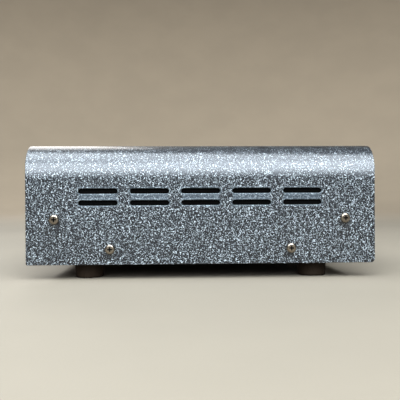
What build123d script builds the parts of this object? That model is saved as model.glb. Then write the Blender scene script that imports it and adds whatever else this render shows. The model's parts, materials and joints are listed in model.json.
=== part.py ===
"""A compact guitar amp head in a folded steel case.

A hood with large side bends covers a tray with a front and a rear panel. Both panels stand back from the hood's
edges, so the knobs and sockets stay inside the case outline. Each hood side has two rows of vent slots.

Frame: +X is the player's right when facing the controls, -Y is the front, +Z is up. The origin lies on the surface
that the feet stand on, under the middle of the case. Sizes are in millimetres.
"""

import os
from math import radians, tan

from build123d import *

# ---------------------------------------------------------------- case
case_width = 218.0
case_depth = 210.0
hood_height = 72.0
bend_radius = 16.0  # outside of the hood's two top bends
sheet = 1.2  # steel of the hood, the tray and the panels
fold_radius = 2.4  # outside of every tight fold
edge_round = 0.35  # what the powder coat leaves of the cut edges
front_corner = 2.4  # lower front corners of the hood's sides
rear_corner = 1.1
skirt = 0.7  # how far the hood hangs below the tray
fit_gap = 0.2  # hood to tray, and shanks to punched holes
panel_recess = 11.0  # hood edge to the front face and to the rear face
faceplate_thickness = 1.5
faceplate_chamfer = 0.3
side_shift = 0.7  # slots and side screws sit this far behind the middle

# vent slots in each side of the hood
vent_columns = 5
vent_rows = 2
vent_length = 23.8
vent_width = 3.5
vent_pitch = 30.7
vent_row_pitch = 7.1
vent_height = 40.4  # middle of the rows above the hood's lower edge

# screws through each side of the hood, above the hood's lower edge
upper_screw_inset = 17.75  # from the hood's front and rear edges
upper_screw_height = 27.2
lower_screw_span = 108.7
lower_screw_height = 9.3

# folded edges
tray_flange = 16.0
flange_setback = 5.0  # the tray's side flanges end this far inside its floor
panel_flange = 13.0
panel_side_flange = 30.0
panel_side_flange_rise = 7.5  # middle of the side flange above its screw
panel_lower_flange_inset = 8.4  # from the tray's sides
notch = 1.5  # relief beside a fold
panel_screw_pitch = 60.0
panel_screw_inset = 5.0  # screw to the end of the lower flange

# ---------------------------------------------------------------- fasteners
thread_gap = 0.05  # between a thread's two sides
m3_radius = 1.45
m3_head = 3.0
m3_head_height = 2.2
m3_head_round = 1.15
cover_screw_length = 8.0
short_screw_length = 4.0
clinch_nut_radius = 3.1
clinch_nut_height = 2.0
m4_radius = 1.95
m4_head = 3.8
m4_head_height = 2.6
m4_head_round = 1.3
foot_screw_end = 1.1  # beyond its nut
m4_nut_radius = 4.04
m4_nut_height = 3.2
nut_chamfer = 0.4
cross_length = 3.0
cross_width = 0.8
cross_depth = 1.3
cross_heart = 0.75  # radius of the round middle of a cross recess

# ---------------------------------------------------------------- feet
foot_height = 9.5
foot_radius = 9.0
foot_toe_radius = 8.6
foot_round = 1.3
foot_inset = 15.0  # foot centre to the hood's side
foot_pitch = 138.6
foot_well = 4.4
foot_well_depth = 5.5

# ---------------------------------------------------------------- front controls
knob_names = ["gain", "bass", "middle", "treble", "reverb", "master"]
column_pitch = 30.0
knob_row_height = 44.2  # above the hood's lower edge, as are all the heights below with such a name
socket_row_height = 17.7
running_gap = 0.05

knob_gap = 0.6  # faceplate to knob
knob_height = 9.6
knob_radius = 7.9
knob_skirt_flare = 1.1
knob_skirt_height = 1.8
knob_round = 0.8
knob_flutes = 24
flute_radius = 0.5
pointer_width = 1.0
pointer_depth = 0.6
pointer_length = 5.2
knob_hollow = 6.4
knob_hollow_depth = 3.2
knob_cap = 1.6  # thickness of the knob's top over the shaft
shaft_radius = 3.0
bush_wall = 0.5
shaft_flat = 1.6  # from the axis to the flat that drives the knob
shaft_flat_length = 4.6
wiper_radius = 6.0
wiper_thickness = 1.0
wiper_gap = 0.5

pot_radius = 8.0
pot_depth = 8.3
pot_wall = 1.0
pot_proud = 2.6
pot_nut_radius = 5.77
pot_nut_height = 1.8

lever_names = ["bright", "voice"]
toggle_width = 8.0
toggle_height = 13.0
toggle_depth = 9.5
toggle_cavity = 4.0  # depth of the hollow behind the panel
toggle_bush = 3.0
toggle_proud = 3.2
toggle_lip = 1.9
toggle_lip_length = 0.55
toggle_nut_radius = 4.62
toggle_nut_height = 1.6
lever_ball = 2.2
lever_pivot_inset = 1.7  # pivot behind the bush's mouth
lever_neck = 1.0
lever_tip = 1.55
lever_length = 7.4
lever_tail = 4.4
lever_tilt = 12.0

lamp_bezel_radius = 5.5
lamp_bezel_height = 1.6
lamp_wall = 0.8
lamp_lens_radius = 3.1
lamp_dome = 1.9
lamp_back = 6.5  # length of the stem behind the faceplate's face

# ---------------------------------------------------------------- sockets
jack_size = 16.0
jack_depth = 26.0
jack_corner = 1.5
jack_bush = 4.75
jack_proud = 3.6
jack_bore = 3.25
jack_end = 1.5
jack_mouth = 0.5
jack_nut_radius = 8.08
jack_nut_height = 2.2

rear_jack_height = 31.2
speaker_jack_columns = [-88.0, -64.0]
effects_jack_columns = [-34.0, -12.0]

inlet_x = 76.0
inlet_middle_height = 36.2
inlet_wall = 1.5
inlet_height = 31.0
inlet_depth = 24.0
inlet_flange_width = 50.0
inlet_flange_height = 34.0
inlet_flange = 2.5
inlet_flange_corner = 5.0
inlet_screw_span = 40.0
plug_width = 24.2
plug_height = 16.2
plug_corner = 4.0
plug_depth = 16.0
plug_rise = 5.2  # plug cavity above the inlet's middle
pin_width = 2.0
pin_height = 4.0
pin_reach = 13.0
pin_span = 14.0
pin_drop = 2.0  # the live pins below the cavity's middle
earth_rise = 2.0
tag_length = 8.0
drawer_wall = 1.4
drawer_height = 7.4
drawer_depth = 13.0
drawer_drop = 10.2  # drawer below the inlet's middle
drawer_gap = 0.3
drawer_face_width = 25.0
drawer_face_height = 9.0
drawer_face = 1.5
drawer_corner = 1.0
fuse_radius = 2.6
fuse_length = 20.0
fuse_gap = 0.1
fuse_cap_length = 5.0
fuse_cap_thickness = 0.3

switch_x = 36.0
switch_middle_height = 36.2
switch_side_rim = 1.2  # bezel beyond the body
switch_end_rim = 1.3
switch_bezel = 2.0
switch_corner = 1.0
switch_side_wall = 1.2  # body around the rocker
switch_end_wall = 1.4
switch_depth = 15.0
switch_well = 9.0
rocker_width = 10.0
rocker_reach = 8.0  # pivot to the rocker's ends
rocker_crown = 3.0  # pivot to the middle of the rocker's face
rocker_belly = 2.8
rocker_keel = 4.4
rocker_tilt = 8.0
rocker_gap = 0.3
rocker_pin = 1.2
rocker_pin_length = 0.9
rocker_pivot_inset = 2.6  # pivot behind the bezel's face

# ---------------------------------------------------------------- inside
board_thickness = 1.6
board_side_gap = 8.4  # to the tray's sides
board_front_gap = 34.3  # to the panels
board_rear_gap = 19.8
standoff_height = 6.0
standoff_radius = 3.18
standoff_side_inset = 18.0
standoff_end_inset = 7.0
preamp_board_gap = 13.4  # to the tray's sides
preamp_board_height = 30.0

fan_size = 40.0
fan_thickness = 10.0
rotor_gap = 0.6
fan_rim = 1.0
fan_corner = 3.0
fan_hole_inset = 4.0
fan_middle_height = 36.7
fan_motor = 8.2
fan_motor_thickness = 2.0
fan_pin = 1.5
fan_hub = 8.5
fan_hub_height = 6.4
fan_hub_cap = 1.2
fan_tip_gap = 0.7
fan_blades = 7
blade_chord = 7.6
blade_thickness = 0.9
blade_pitch = 50.0
strut_width = 2.0
fan_tab_margin = 5.0
fan_screw_grip = 1.0

sink_length = 88.0
sink_y = 3.0
sink_base = 4.0
sink_fin_length = 28.0
sink_height = 40.0
sink_fins = 10
sink_fin = 1.6
device_count = 4
device_pitch = 21.0
device_width = 10.2
device_height = 9.2
device_thickness = 4.5
device_tab = 1.3
device_tab_height = 15.5
device_lift = 12.0
device_lead = 0.8
device_lead_pitch = 2.54

transformer_x = 68.0
transformer_y = -18.0
core_width = 48.0
core_stack = 22.0
core_height = 40.0
core_limb = 8.0  # a side limb and a window are this wide, the middle limb is twice as wide
winding_gap = 0.2
winding_round = 2.5

capacitor_radius = 11.0
capacitor_height = 32.0
capacitor_round = 1.5
capacitor_spots = [(60.0, 38.0), (84.0, 38.0)]
inductor_outer = 10.0
inductor_inner = 4.5
inductor_height = 9.0
inductor_round = 2.5
inductor_spots = [(-66.0, 38.0), (-66.0, 12.0)]

ribbon_x = 26.0
ribbon_width = 18.0
ribbon_thickness = 0.9
ribbon_y = -50.0
ribbon_drop = 8.0  # leaves the preamp board this far below the board's middle
ribbon_stub = 9.0
ribbon_rise = 8.0  # straight run above the header
header_margin = 2.0
header_depth = 5.0
header_height = 5.0

# loose components on the main board: sizes, middles, and grids as pitch, pitch, count, count
film_size = (9.6, 6.4)
film_middle = (-66.0, -32.0)
film_grid = (16.0, 14.0, 3, 2)
chip_size = (4.4, 10.2)
chip_middle = (-20.0, -44.0)
chip_grid = (12.0, 0.0, 3, 1)
small_can = 4.0
small_can_middle = (-20.0, -20.0)
small_can_grid = (14.0, 14.0, 4, 2)
large_can = 5.0
large_can_middle = (16.0, 52.0)
large_can_grid = (18.0, 0.0, 3, 1)
can_height = 11.5
relay_size = (16.0, 10.0)
relay_middle = (-20.0, 56.0)
relay_grid = (20.0, 0.0, 2, 1)
terminal_size = (32.0, 9.0)
terminal_middle = (-72.0, 58.0)
terminal_height = 14.0
terminal_poles = [(-80.0, 57.0), (-68.0, 57.0)]

wire_radius = 1.1
lead_stub = 7.0  # straight run out of a tag
winding_stub = 8.0
winding_tap = 44.0
winding_taps = (-4.0, 2.0)  # beside the transformer's middle
jack_tag_rise = 2.0
fan_lead_stub = 5.0
fan_lead_shift = 3.0
run_share = 0.45  # of the shorter run beside a corner, taken by the corner's arc

# ---------------------------------------------------------------- levels and faces that follow from the above
pan_bottom = foot_height
pan_top = pan_bottom + sheet
hood_bottom = pan_bottom - skirt
hood_top = hood_bottom + hood_height
hood_inside = case_width / 2 - sheet
tray_outside = hood_inside - fit_gap
tray_inside = tray_outside - sheet
panel_top = hood_top - sheet - fit_gap
panel_corner = bend_radius - sheet - fit_gap
front_face = -case_depth / 2 + panel_recess
front_steel = front_face + faceplate_thickness
front_inside = front_steel + sheet
front_wall = front_inside - front_face
rear_face = case_depth / 2 - panel_recess
rear_inside = rear_face - sheet
knob_row = hood_bottom + knob_row_height
socket_row = hood_bottom + socket_row_height
rear_jack_row = hood_bottom + rear_jack_height
inlet_z = hood_bottom + inlet_middle_height
switch_z = hood_bottom + switch_middle_height
fan_z = hood_bottom + fan_middle_height
board_front = front_inside + board_front_gap
board_rear = rear_inside - board_rear_gap
board_width = 2 * (tray_inside - board_side_gap)
board_depth = board_rear - board_front
board_y = (board_front + board_rear) / 2
board_bottom = pan_top + standoff_height
board_top = board_bottom + board_thickness
preamp_board_front = front_inside + pot_depth
preamp_board_back = preamp_board_front + board_thickness

knob_skirt = knob_radius + knob_skirt_flare
pot_bush = shaft_radius + bush_wall
lamp_stem = lamp_lens_radius + lamp_wall
inlet_width = plug_width + 2 * inlet_wall
drawer_width = fuse_length + 2 * (fuse_gap + drawer_wall)
switch_body_width = rocker_width + 2 * (rocker_gap + switch_side_wall)
switch_body_height = 2 * (rocker_reach + rocker_gap + switch_end_wall)
fan_bore = fan_size / 2 - fan_rim
fan_hole_span = fan_size - 2 * fan_hole_inset
fan_tip = fan_bore - fan_tip_gap
fan_tab_width = fan_size + 2 * fan_tab_margin
fan_tab_top = fan_z + fan_size / 2

m3_hole = m3_radius + fit_gap
m3_thread = m3_radius + thread_gap
m4_hole = m4_radius + fit_gap
side_screw_spots = [
    (side_shift + half * span / 2, hood_bottom + height)
    for span, height in (
        (case_depth - 2 * upper_screw_inset, upper_screw_height),
        (lower_screw_span, lower_screw_height),
    )
    for half in (-1, 1)
]
side_flange_z = hood_bottom + upper_screw_height + panel_side_flange_rise
front_screw_line = front_steel + panel_flange - panel_screw_inset
rear_screw_line = rear_face - panel_flange + panel_screw_inset
foot_grid = (case_width - 2 * foot_inset, foot_pitch, 2, 2)
panel_screw_grid = (panel_screw_pitch, 0, 3, 1)
standoff_grid = (board_width / 2 - standoff_side_inset, board_depth - 2 * standoff_end_inset, 3, 2)

columns = [column_pitch * (index - (len(knob_names) - 1) / 2) for index in range(len(knob_names))]
knob_spots = [(x, knob_row) for x in columns]
input_spot, bright_spot, voice_spot, lamp_spot, footswitch_spot, phones_spot = [(x, socket_row) for x in columns]
toggle_spots = [bright_spot, voice_spot]
front_jack_spots = [input_spot, footswitch_spot, phones_spot]
speaker_spots = [(x, rear_jack_row) for x in speaker_jack_columns]
effects_spots = [(x, rear_jack_row) for x in effects_jack_columns]
plug_z = inlet_z + plug_rise
drawer_z = inlet_z - drawer_drop
inlet_face = rear_face + inlet_flange
inlet_back = rear_inside - inlet_depth
bezel_face = rear_face + switch_bezel
rocker_pivot = bezel_face - rocker_pivot_inset
lever_pivot = front_face - toggle_proud + lever_pivot_inset


def wall(y):
    """An upright sketch plane across the case: sketch X is +X, sketch Y is +Z, and its normal faces the front."""
    return Plane.XZ.offset(-y)


def rear_wall(y):
    """The same upright plane as seen from behind: sketch X is -X and its normal faces the rear."""
    return Plane(origin=(0, y, 0), x_dir=(-1, 0, 0), z_dir=(0, 1, 0))


def side(x):
    """An upright sketch plane along the case: sketch X is +Y, sketch Y is +Z, and its normal faces +X."""
    return Plane.YZ.offset(x)


def folded_channel(middle, width, height, radius, mouth):
    """A U section of the sheet around (0, middle). mouth is 1 where the U opens up, -1 where it opens down."""
    open_end = middle + mouth * height / 2
    closed_end = middle - mouth * height / 2
    with BuildSketch() as section:
        with BuildLine():
            outside = FilletPolyline(
                (-width / 2, open_end),
                (-width / 2, closed_end),
                (width / 2, closed_end),
                (width / 2, open_end),
                radius=radius,
            )
            offset(outside, amount=sheet, side=Side.LEFT if mouth > 0 else Side.RIGHT)
        make_face()
    return section.sketch


def panel_outline(bottom):
    """Draws a panel with two large upper corners that follow the hood's bends."""
    height = panel_top - bottom
    with Locations((0, bottom + height / 2)):
        outline = Rectangle(2 * tray_outside, height)
    fillet(outline.vertices().group_by(Axis.Y)[-1], panel_corner)


def side_holes(radius):
    """Draws the holes for the screws through the case's sides."""
    with Locations(*side_screw_spots):
        Circle(radius)


os.makedirs("parts", exist_ok=True)

# ---------------------------------------------------------------- hood
with BuildPart() as top_cover:
    with BuildSketch(wall(-case_depth / 2)):
        add(folded_channel(hood_bottom + hood_height / 2, case_width, hood_height, bend_radius, mouth=-1))
    extrude(amount=-case_depth)
    corner_edges = top_cover.edges().filter_by(Axis.X).group_by(Axis.Z)[0].group_by(Axis.Y)
    fillet(corner_edges[0], front_corner)
    corner_edges = top_cover.edges().filter_by(Axis.X).group_by(Axis.Z)[0].group_by(Axis.Y)
    fillet(corner_edges[-1], rear_corner)
    with BuildSketch(side(case_width / 2)):
        with Locations((side_shift, hood_bottom + vent_height)):
            with GridLocations(vent_pitch, vent_row_pitch, vent_columns, vent_rows):
                SlotOverall(vent_length, vent_width)
        side_holes(m3_hole)
    extrude(amount=-case_width, mode=Mode.SUBTRACT)
    flat_sides = top_cover.faces().filter_by(Axis.X).group_by(Axis.X)
    rims = (flat_sides[0] + flat_sides[-1]).edges()
    bend_lines = rims.filter_by(Axis.Y).filter_by(lambda e: e.length > case_depth / 2).group_by(Axis.Z)[-1]
    fillet([edge for edge in rims if edge not in bend_lines], edge_round)
top_cover.part.label = "top_cover"
export_step(top_cover.part, "parts/top_cover.step")

# ---------------------------------------------------------------- tray
with BuildPart() as chassis_pan:
    with BuildSketch(wall(front_face)):
        add(folded_channel(pan_bottom + tray_flange / 2, 2 * tray_outside, tray_flange, fold_radius, mouth=1))
    extrude(amount=front_face - rear_face)
    with BuildSketch(Plane.XY.offset(pan_bottom)):
        with GridLocations(2 * tray_outside, rear_face - front_face, 2, 2):
            Rectangle(2 * (fold_radius + notch), 2 * flange_setback)
    extrude(amount=tray_flange, mode=Mode.SUBTRACT)
    with BuildSketch(side(tray_inside)):
        with Locations((side_shift, (pan_bottom + fold_radius + fan_tab_top) / 2)):
            fan_tab = Rectangle(fan_tab_width, fan_tab_top - pan_bottom - fold_radius)
        fillet(fan_tab.vertices().group_by(Axis.Y)[-1], fold_radius)
    extrude(amount=sheet)
    with BuildSketch(side(tray_outside)):
        side_holes(m3_hole)
    extrude(amount=-2 * tray_outside, mode=Mode.SUBTRACT)
    with BuildSketch(side(tray_outside)):
        with Locations((side_shift, fan_z)):
            Circle(fan_bore)
            with GridLocations(fan_hole_span, fan_hole_span, 2, 2):
                Circle(m3_thread)
    extrude(amount=-sheet, mode=Mode.SUBTRACT)
    with BuildSketch(Plane.XY.offset(pan_bottom)):
        with GridLocations(*foot_grid):
            Circle(m4_hole)
        with Locations((0, board_y)):
            with GridLocations(*standoff_grid):
                Circle(m3_hole)
        with Locations((0, front_screw_line), (0, rear_screw_line)):
            with GridLocations(*panel_screw_grid):
                Circle(m3_hole)
    extrude(amount=sheet, mode=Mode.SUBTRACT)
chassis_pan.part.label = "chassis_pan"
export_step(chassis_pan.part, "parts/chassis_pan.step")


# ---------------------------------------------------------------- panels
def folded_panel(outer_face, inward, screw_line):
    """A panel with side flanges and a lower flange folded into the case. inward is 1 for +Y, -1 for -Y."""
    with BuildPart() as panel:
        with BuildSketch(wall(outer_face)):
            panel_outline(pan_top + fold_radius)
            with Locations((0, side_flange_z)):
                with GridLocations(2 * tray_outside, 0, 2, 1):
                    Rectangle(2 * fold_radius, panel_side_flange + 2 * notch, mode=Mode.SUBTRACT)
        extrude(amount=-inward * sheet)
        with BuildSketch(Plane.XY.offset(side_flange_z - panel_side_flange / 2)):
            middle = outer_face + inward * panel_flange / 2
            add(folded_channel(middle, 2 * tray_outside, panel_flange, fold_radius, mouth=inward))
        extrude(amount=panel_side_flange)
        with BuildSketch(side(panel_lower_flange_inset - tray_inside)):
            with BuildLine():
                heel = FilletPolyline(
                    (outer_face, pan_top + 2 * fold_radius),
                    (outer_face, pan_top),
                    (outer_face + inward * panel_flange, pan_top),
                    radius=fold_radius,
                )
                offset(heel, amount=sheet, side=Side.LEFT if inward > 0 else Side.RIGHT)
            make_face()
        extrude(amount=2 * (tray_inside - panel_lower_flange_inset))
        with BuildSketch(side(tray_outside)):
            side_holes(m3_hole)
        extrude(amount=-2 * tray_outside, mode=Mode.SUBTRACT)
        with BuildSketch(Plane.XY.offset(pan_top)):
            with Locations((0, screw_line)):
                with GridLocations(*panel_screw_grid):
                    Circle(m3_thread)
        extrude(amount=sheet, mode=Mode.SUBTRACT)
    return panel.part


def front_openings():
    """Draws the holes for the controls and sockets of the front."""
    with Locations(*knob_spots):
        Circle(pot_bush + fit_gap)
    with Locations(*toggle_spots):
        Circle(toggle_bush + fit_gap)
    with Locations(*front_jack_spots):
        Circle(jack_bush + fit_gap)
    with Locations(lamp_spot):
        Circle(lamp_stem + fit_gap)


with BuildPart() as front_panel:
    add(folded_panel(front_steel, 1, front_screw_line))
    with BuildSketch(wall(front_steel)):
        front_openings()
    extrude(amount=-sheet, mode=Mode.SUBTRACT)
front_panel.part.label = "front_panel"
export_step(front_panel.part, "parts/front_panel.step")

with BuildPart() as faceplate:
    with BuildSketch(wall(front_steel)):
        panel_outline(pan_top)
    extrude(amount=faceplate_thickness)
    chamfer(faceplate.faces().sort_by(Axis.Y)[0].edges(), faceplate_chamfer)
    with BuildSketch(wall(front_steel)):
        front_openings()
    extrude(amount=faceplate_thickness, mode=Mode.SUBTRACT)
faceplate.part.label = "faceplate"
export_step(faceplate.part, "parts/faceplate.step")

with BuildPart() as rear_panel:
    add(folded_panel(rear_face, -1, rear_screw_line))
    with BuildSketch(wall(rear_face)):
        with Locations(*speaker_spots, *effects_spots):
            Circle(jack_bush + fit_gap)
        with Locations((inlet_x, inlet_z)):
            Rectangle(inlet_width + 2 * fit_gap, inlet_height + 2 * fit_gap)
            with GridLocations(inlet_screw_span, 0, 2, 1):
                Circle(m3_thread)
        with Locations((switch_x, switch_z)):
            Rectangle(switch_body_width + 2 * fit_gap, switch_body_height + 2 * fit_gap)
    extrude(amount=sheet, mode=Mode.SUBTRACT)
rear_panel.part.label = "rear_panel"
export_step(rear_panel.part, "parts/rear_panel.step")


# ---------------------------------------------------------------- fasteners
def pan_screw(head_radius, head_height, head_round, shank_radius, length):
    """A pan-head screw with a cross recess. Its head stands on Z = 0 and its shank points down."""
    with BuildPart() as screw:
        with BuildSketch():
            Circle(head_radius)
        extrude(amount=head_height)
        fillet(screw.edges().sort_by(Axis.Z)[-1], head_round)
        with BuildSketch():
            Circle(shank_radius)
        extrude(amount=-length)
        chamfer(screw.edges().sort_by(Axis.Z)[0], shank_radius / 4)
        with BuildSketch(Plane.XY.offset(head_height)):
            Circle(cross_heart)
            Rectangle(cross_length, cross_width)
            Rectangle(cross_width, cross_length)
        extrude(amount=-cross_depth, mode=Mode.SUBTRACT)
    return screw.part


def hex_nut(radius, bore, height):
    """A hexagon nut that stands on Z = 0."""
    with BuildPart() as nut:
        with BuildSketch():
            RegularPolygon(radius, 6)
        extrude(amount=height)
        chamfer(nut.edges().group_by(Axis.Z)[-1], nut_chamfer)
        with BuildSketch():
            Circle(bore)
        extrude(amount=height, mode=Mode.SUBTRACT)
    return nut.part


cover_screw = pan_screw(m3_head, m3_head_height, m3_head_round, m3_radius, cover_screw_length)
with BuildPart() as cover_screws:
    with Locations(side(case_width / 2)):
        with Locations(*side_screw_spots):
            add(cover_screw)
    mirror(about=Plane.YZ)
cover_screws.part.label = "cover_screws"
export_step(cover_screws.part, "parts/cover_screws.step")

with BuildPart() as clinch_nuts:
    with BuildSketch(side(tray_inside)):
        with Locations(*side_screw_spots):
            Circle(clinch_nut_radius)
            Circle(m3_thread, mode=Mode.SUBTRACT)
    extrude(amount=-clinch_nut_height)
    mirror(about=Plane.YZ)
clinch_nuts.part.label = "clinch_nuts"
export_step(clinch_nuts.part, "parts/clinch_nuts.step")

# panel screws and standoff screws from below, board screws from above: all are the same short screw
short_screw = pan_screw(m3_head, m3_head_height, m3_head_round, m3_radius, short_screw_length)
underside = Plane(origin=(0, 0, pan_bottom), x_dir=(1, 0, 0), z_dir=(0, 0, -1))
with BuildPart() as assembly_screws:
    with Locations(underside):
        with Locations((0, -front_screw_line), (0, -rear_screw_line)):
            with GridLocations(*panel_screw_grid):
                add(short_screw)
        with Locations((0, -board_y)):
            with GridLocations(*standoff_grid):
                add(short_screw)
    with Locations((0, board_y, board_top)):
        with GridLocations(*standoff_grid):
            add(short_screw)
assembly_screws.part.label = "assembly_screws"
export_step(assembly_screws.part, "parts/assembly_screws.step")

# ---------------------------------------------------------------- feet
with BuildPart() as foot:
    with BuildSketch(Plane.XZ):
        with BuildLine():
            Polyline(
                (m4_hole, foot_height),
                (foot_radius, foot_height),
                (foot_toe_radius, 0),
                (foot_well, 0),
                (foot_well, foot_well_depth),
                (m4_hole, foot_well_depth),
                close=True,
            )
        profile = make_face()
        toe = profile.vertices().group_by(Axis.Y)[0].sort_by(Axis.X)[-1]
        fillet(toe, foot_round)
    revolve(axis=Axis.Z)
with BuildPart() as rubber_feet:
    with GridLocations(*foot_grid):
        add(foot.part)
rubber_feet.part.label = "rubber_feet"
export_step(rubber_feet.part, "parts/rubber_feet.step")

foot_screw_length = foot_height - foot_well_depth + sheet + m4_nut_height + foot_screw_end
foot_screw = pan_screw(m4_head, m4_head_height, m4_head_round, m4_radius, foot_screw_length)
foot_well_floor = Plane(origin=(0, 0, foot_well_depth), x_dir=(1, 0, 0), z_dir=(0, 0, -1))
with BuildPart() as foot_screws:
    with Locations(foot_well_floor):
        with GridLocations(*foot_grid):
            add(foot_screw)
foot_screws.part.label = "foot_screws"
export_step(foot_screws.part, "parts/foot_screws.step")

foot_nut = hex_nut(m4_nut_radius, m4_radius + thread_gap, m4_nut_height)
with BuildPart() as foot_nuts:
    with Locations((0, 0, pan_top)):
        with GridLocations(*foot_grid):
            add(foot_nut)
foot_nuts.part.label = "foot_nuts"
export_step(foot_nuts.part, "parts/foot_nuts.step")

# ---------------------------------------------------------------- potentiometers and knobs
with BuildPart() as pot:
    with BuildSketch(Plane.XZ):
        with BuildLine():
            Polyline(
                (shaft_radius + running_gap, front_wall + pot_proud),
                (pot_bush, front_wall + pot_proud),
                (pot_bush, 0),
                (pot_radius, 0),
                (pot_radius, -pot_depth),
                (0, -pot_depth),
                (0, -pot_depth + pot_wall),
                (pot_radius - pot_wall, -pot_depth + pot_wall),
                (pot_radius - pot_wall, -pot_wall),
                (shaft_radius + running_gap, -pot_wall),
                close=True,
            )
        make_face()
    revolve(axis=Axis.Z)
with BuildPart() as pot_bodies:
    with Locations(wall(front_inside)):
        with Locations(*knob_spots):
            add(pot.part)
pot_bodies.part.label = "pot_bodies"
export_step(pot_bodies.part, "parts/pot_bodies.step")

pot_nut = hex_nut(pot_nut_radius, pot_bush + thread_gap, pot_nut_height)
with BuildPart() as pot_nuts:
    with Locations(wall(front_face)):
        with Locations(*knob_spots):
            add(pot_nut)
pot_nuts.part.label = "pot_nuts"
export_step(pot_nuts.part, "parts/pot_nuts.step")

# the shaft's end is knob_cap below the knob's top; Z = 0 is the knob's lower face
shaft_end = knob_height - knob_cap
shaft_start = -(knob_gap + front_wall + pot_depth - pot_wall - wiper_gap)
with BuildPart() as shaft:
    with BuildSketch(Plane.XY.offset(shaft_start)):
        Circle(shaft_radius)
    extrude(amount=shaft_end - shaft_start)
    with BuildSketch(Plane.XY.offset(shaft_end)):
        with Locations((0, -shaft_radius - shaft_flat)):
            Rectangle(2 * shaft_radius, 2 * shaft_radius)
    extrude(amount=-shaft_flat_length, mode=Mode.SUBTRACT)
    with BuildSketch(Plane.XY.offset(shaft_start + wiper_gap)):
        Circle(wiper_radius)
    extrude(amount=wiper_thickness)

with BuildPart() as knob_shape:
    with BuildSketch():
        Circle(knob_skirt)
    extrude(amount=knob_skirt_height)
    chamfer(knob_shape.edges().sort_by(Axis.Z)[-1], knob_skirt_height / 2)
    with BuildSketch():
        Circle(knob_radius)
    extrude(amount=knob_height)
    fillet(knob_shape.edges().sort_by(Axis.Z)[-1], knob_round)
    with BuildSketch(Plane.XY.offset(knob_skirt_height)):
        with PolarLocations(knob_radius + flute_radius / 3, knob_flutes):
            Circle(flute_radius)
    extrude(amount=knob_height, mode=Mode.SUBTRACT)
    with BuildSketch(Plane.XY.offset(knob_height)):
        with Locations((0, knob_skirt - pointer_length / 2)):
            Rectangle(pointer_width, pointer_length)
    extrude(amount=-pointer_depth, mode=Mode.SUBTRACT)
    with BuildSketch():
        Circle(knob_hollow)
    extrude(amount=knob_hollow_depth, mode=Mode.SUBTRACT)
    with BuildSketch(Plane.XY.offset(knob_hollow_depth)):
        Circle(shaft_radius + thread_gap)
    extrude(amount=shaft_end - knob_hollow_depth, mode=Mode.SUBTRACT)

for name, spot in zip(knob_names, knob_spots):
    with BuildPart() as knob:
        with Locations(wall(front_face - knob_gap)):
            with Locations(spot):
                add(knob_shape.part)
    knob.part.label = f"{name}_knob"
    export_step(knob.part, f"parts/{name}_knob.step")

    with BuildPart() as knob_shaft:
        with Locations(wall(front_face - knob_gap)):
            with Locations(spot):
                add(shaft.part)
    knob_shaft.part.label = f"{name}_shaft"
    export_step(knob_shaft.part, f"parts/{name}_shaft.step")

# ---------------------------------------------------------------- toggle switches
mouth = front_wall + toggle_proud
with BuildPart() as toggle:
    with BuildSketch():
        Rectangle(toggle_width, toggle_height)
    extrude(amount=-toggle_depth)
    with BuildSketch():
        Circle(toggle_bush)
    extrude(amount=mouth)
    with BuildSketch(Plane.XY.offset(-toggle_cavity)):
        Circle(lever_ball + running_gap)
    extrude(amount=toggle_cavity + mouth - toggle_lip_length, mode=Mode.SUBTRACT)
    with BuildSketch(Plane.XY.offset(mouth)):
        Circle(toggle_lip)
    extrude(amount=-toggle_lip_length, mode=Mode.SUBTRACT)
with BuildPart() as toggle_bodies:
    with Locations(wall(front_inside)):
        with Locations(*toggle_spots):
            add(toggle.part)
toggle_bodies.part.label = "toggle_bodies"
export_step(toggle_bodies.part, "parts/toggle_bodies.step")

toggle_nut = hex_nut(toggle_nut_radius, toggle_bush + thread_gap, toggle_nut_height)
with BuildPart() as toggle_nuts:
    with Locations(wall(front_face)):
        with Locations(*toggle_spots):
            add(toggle_nut)
toggle_nuts.part.label = "toggle_nuts"
export_step(toggle_nuts.part, "parts/toggle_nuts.step")

# a bat lever along +Z, turned about its ball at the origin
with BuildPart() as lever_shape:
    Sphere(lever_ball)
    with BuildSketch(Plane.XY.offset(-lever_tail)):
        Circle(lever_neck)
    extrude(amount=lever_tail)
    with BuildSketch():
        Circle(lever_neck)
    with BuildSketch(Plane.XY.offset(lever_length)):
        Circle(lever_tip)
    loft()
    with Locations((0, 0, lever_length)):
        Sphere(lever_tip)

for name, (x, z) in zip(lever_names, toggle_spots):
    with BuildPart() as lever:
        with Locations(Plane(origin=(x, lever_pivot, z), x_dir=(1, 0, 0), z_dir=(0, -1, 0))):
            add(lever_shape.part, rotation=(-lever_tilt, 0, 0))
    lever.part.label = f"{name}_lever"
    export_step(lever.part, f"parts/{name}_lever.step")

# ---------------------------------------------------------------- power lamp
with BuildPart() as lamp_bezel:
    with BuildSketch(wall(front_face)):
        with Locations(lamp_spot):
            Circle(lamp_bezel_radius)
    extrude(amount=lamp_bezel_height)
    fillet(lamp_bezel.edges().sort_by(Axis.Y)[0], lamp_bezel_height / 2)
    with BuildSketch(wall(front_face)):
        with Locations(lamp_spot):
            Circle(lamp_stem)
    extrude(amount=-lamp_back)
    with BuildSketch(wall(front_face - lamp_bezel_height)):
        with Locations(lamp_spot):
            Circle(lamp_lens_radius)
    extrude(amount=-lamp_back - lamp_bezel_height, mode=Mode.SUBTRACT)
lamp_bezel.part.label = "lamp_bezel"
export_step(lamp_bezel.part, "parts/lamp_bezel.step")

with BuildPart() as lamp_lens:
    with BuildSketch(wall(front_face + lamp_back)):
        with Locations(lamp_spot):
            Circle(lamp_lens_radius)
    extrude(amount=lamp_back + lamp_bezel_height + lamp_dome)
    fillet(lamp_lens.edges().sort_by(Axis.Y)[0], lamp_dome)
lamp_lens.part.label = "lamp_lens"
export_step(lamp_lens.part, "parts/lamp_lens.step")


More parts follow.
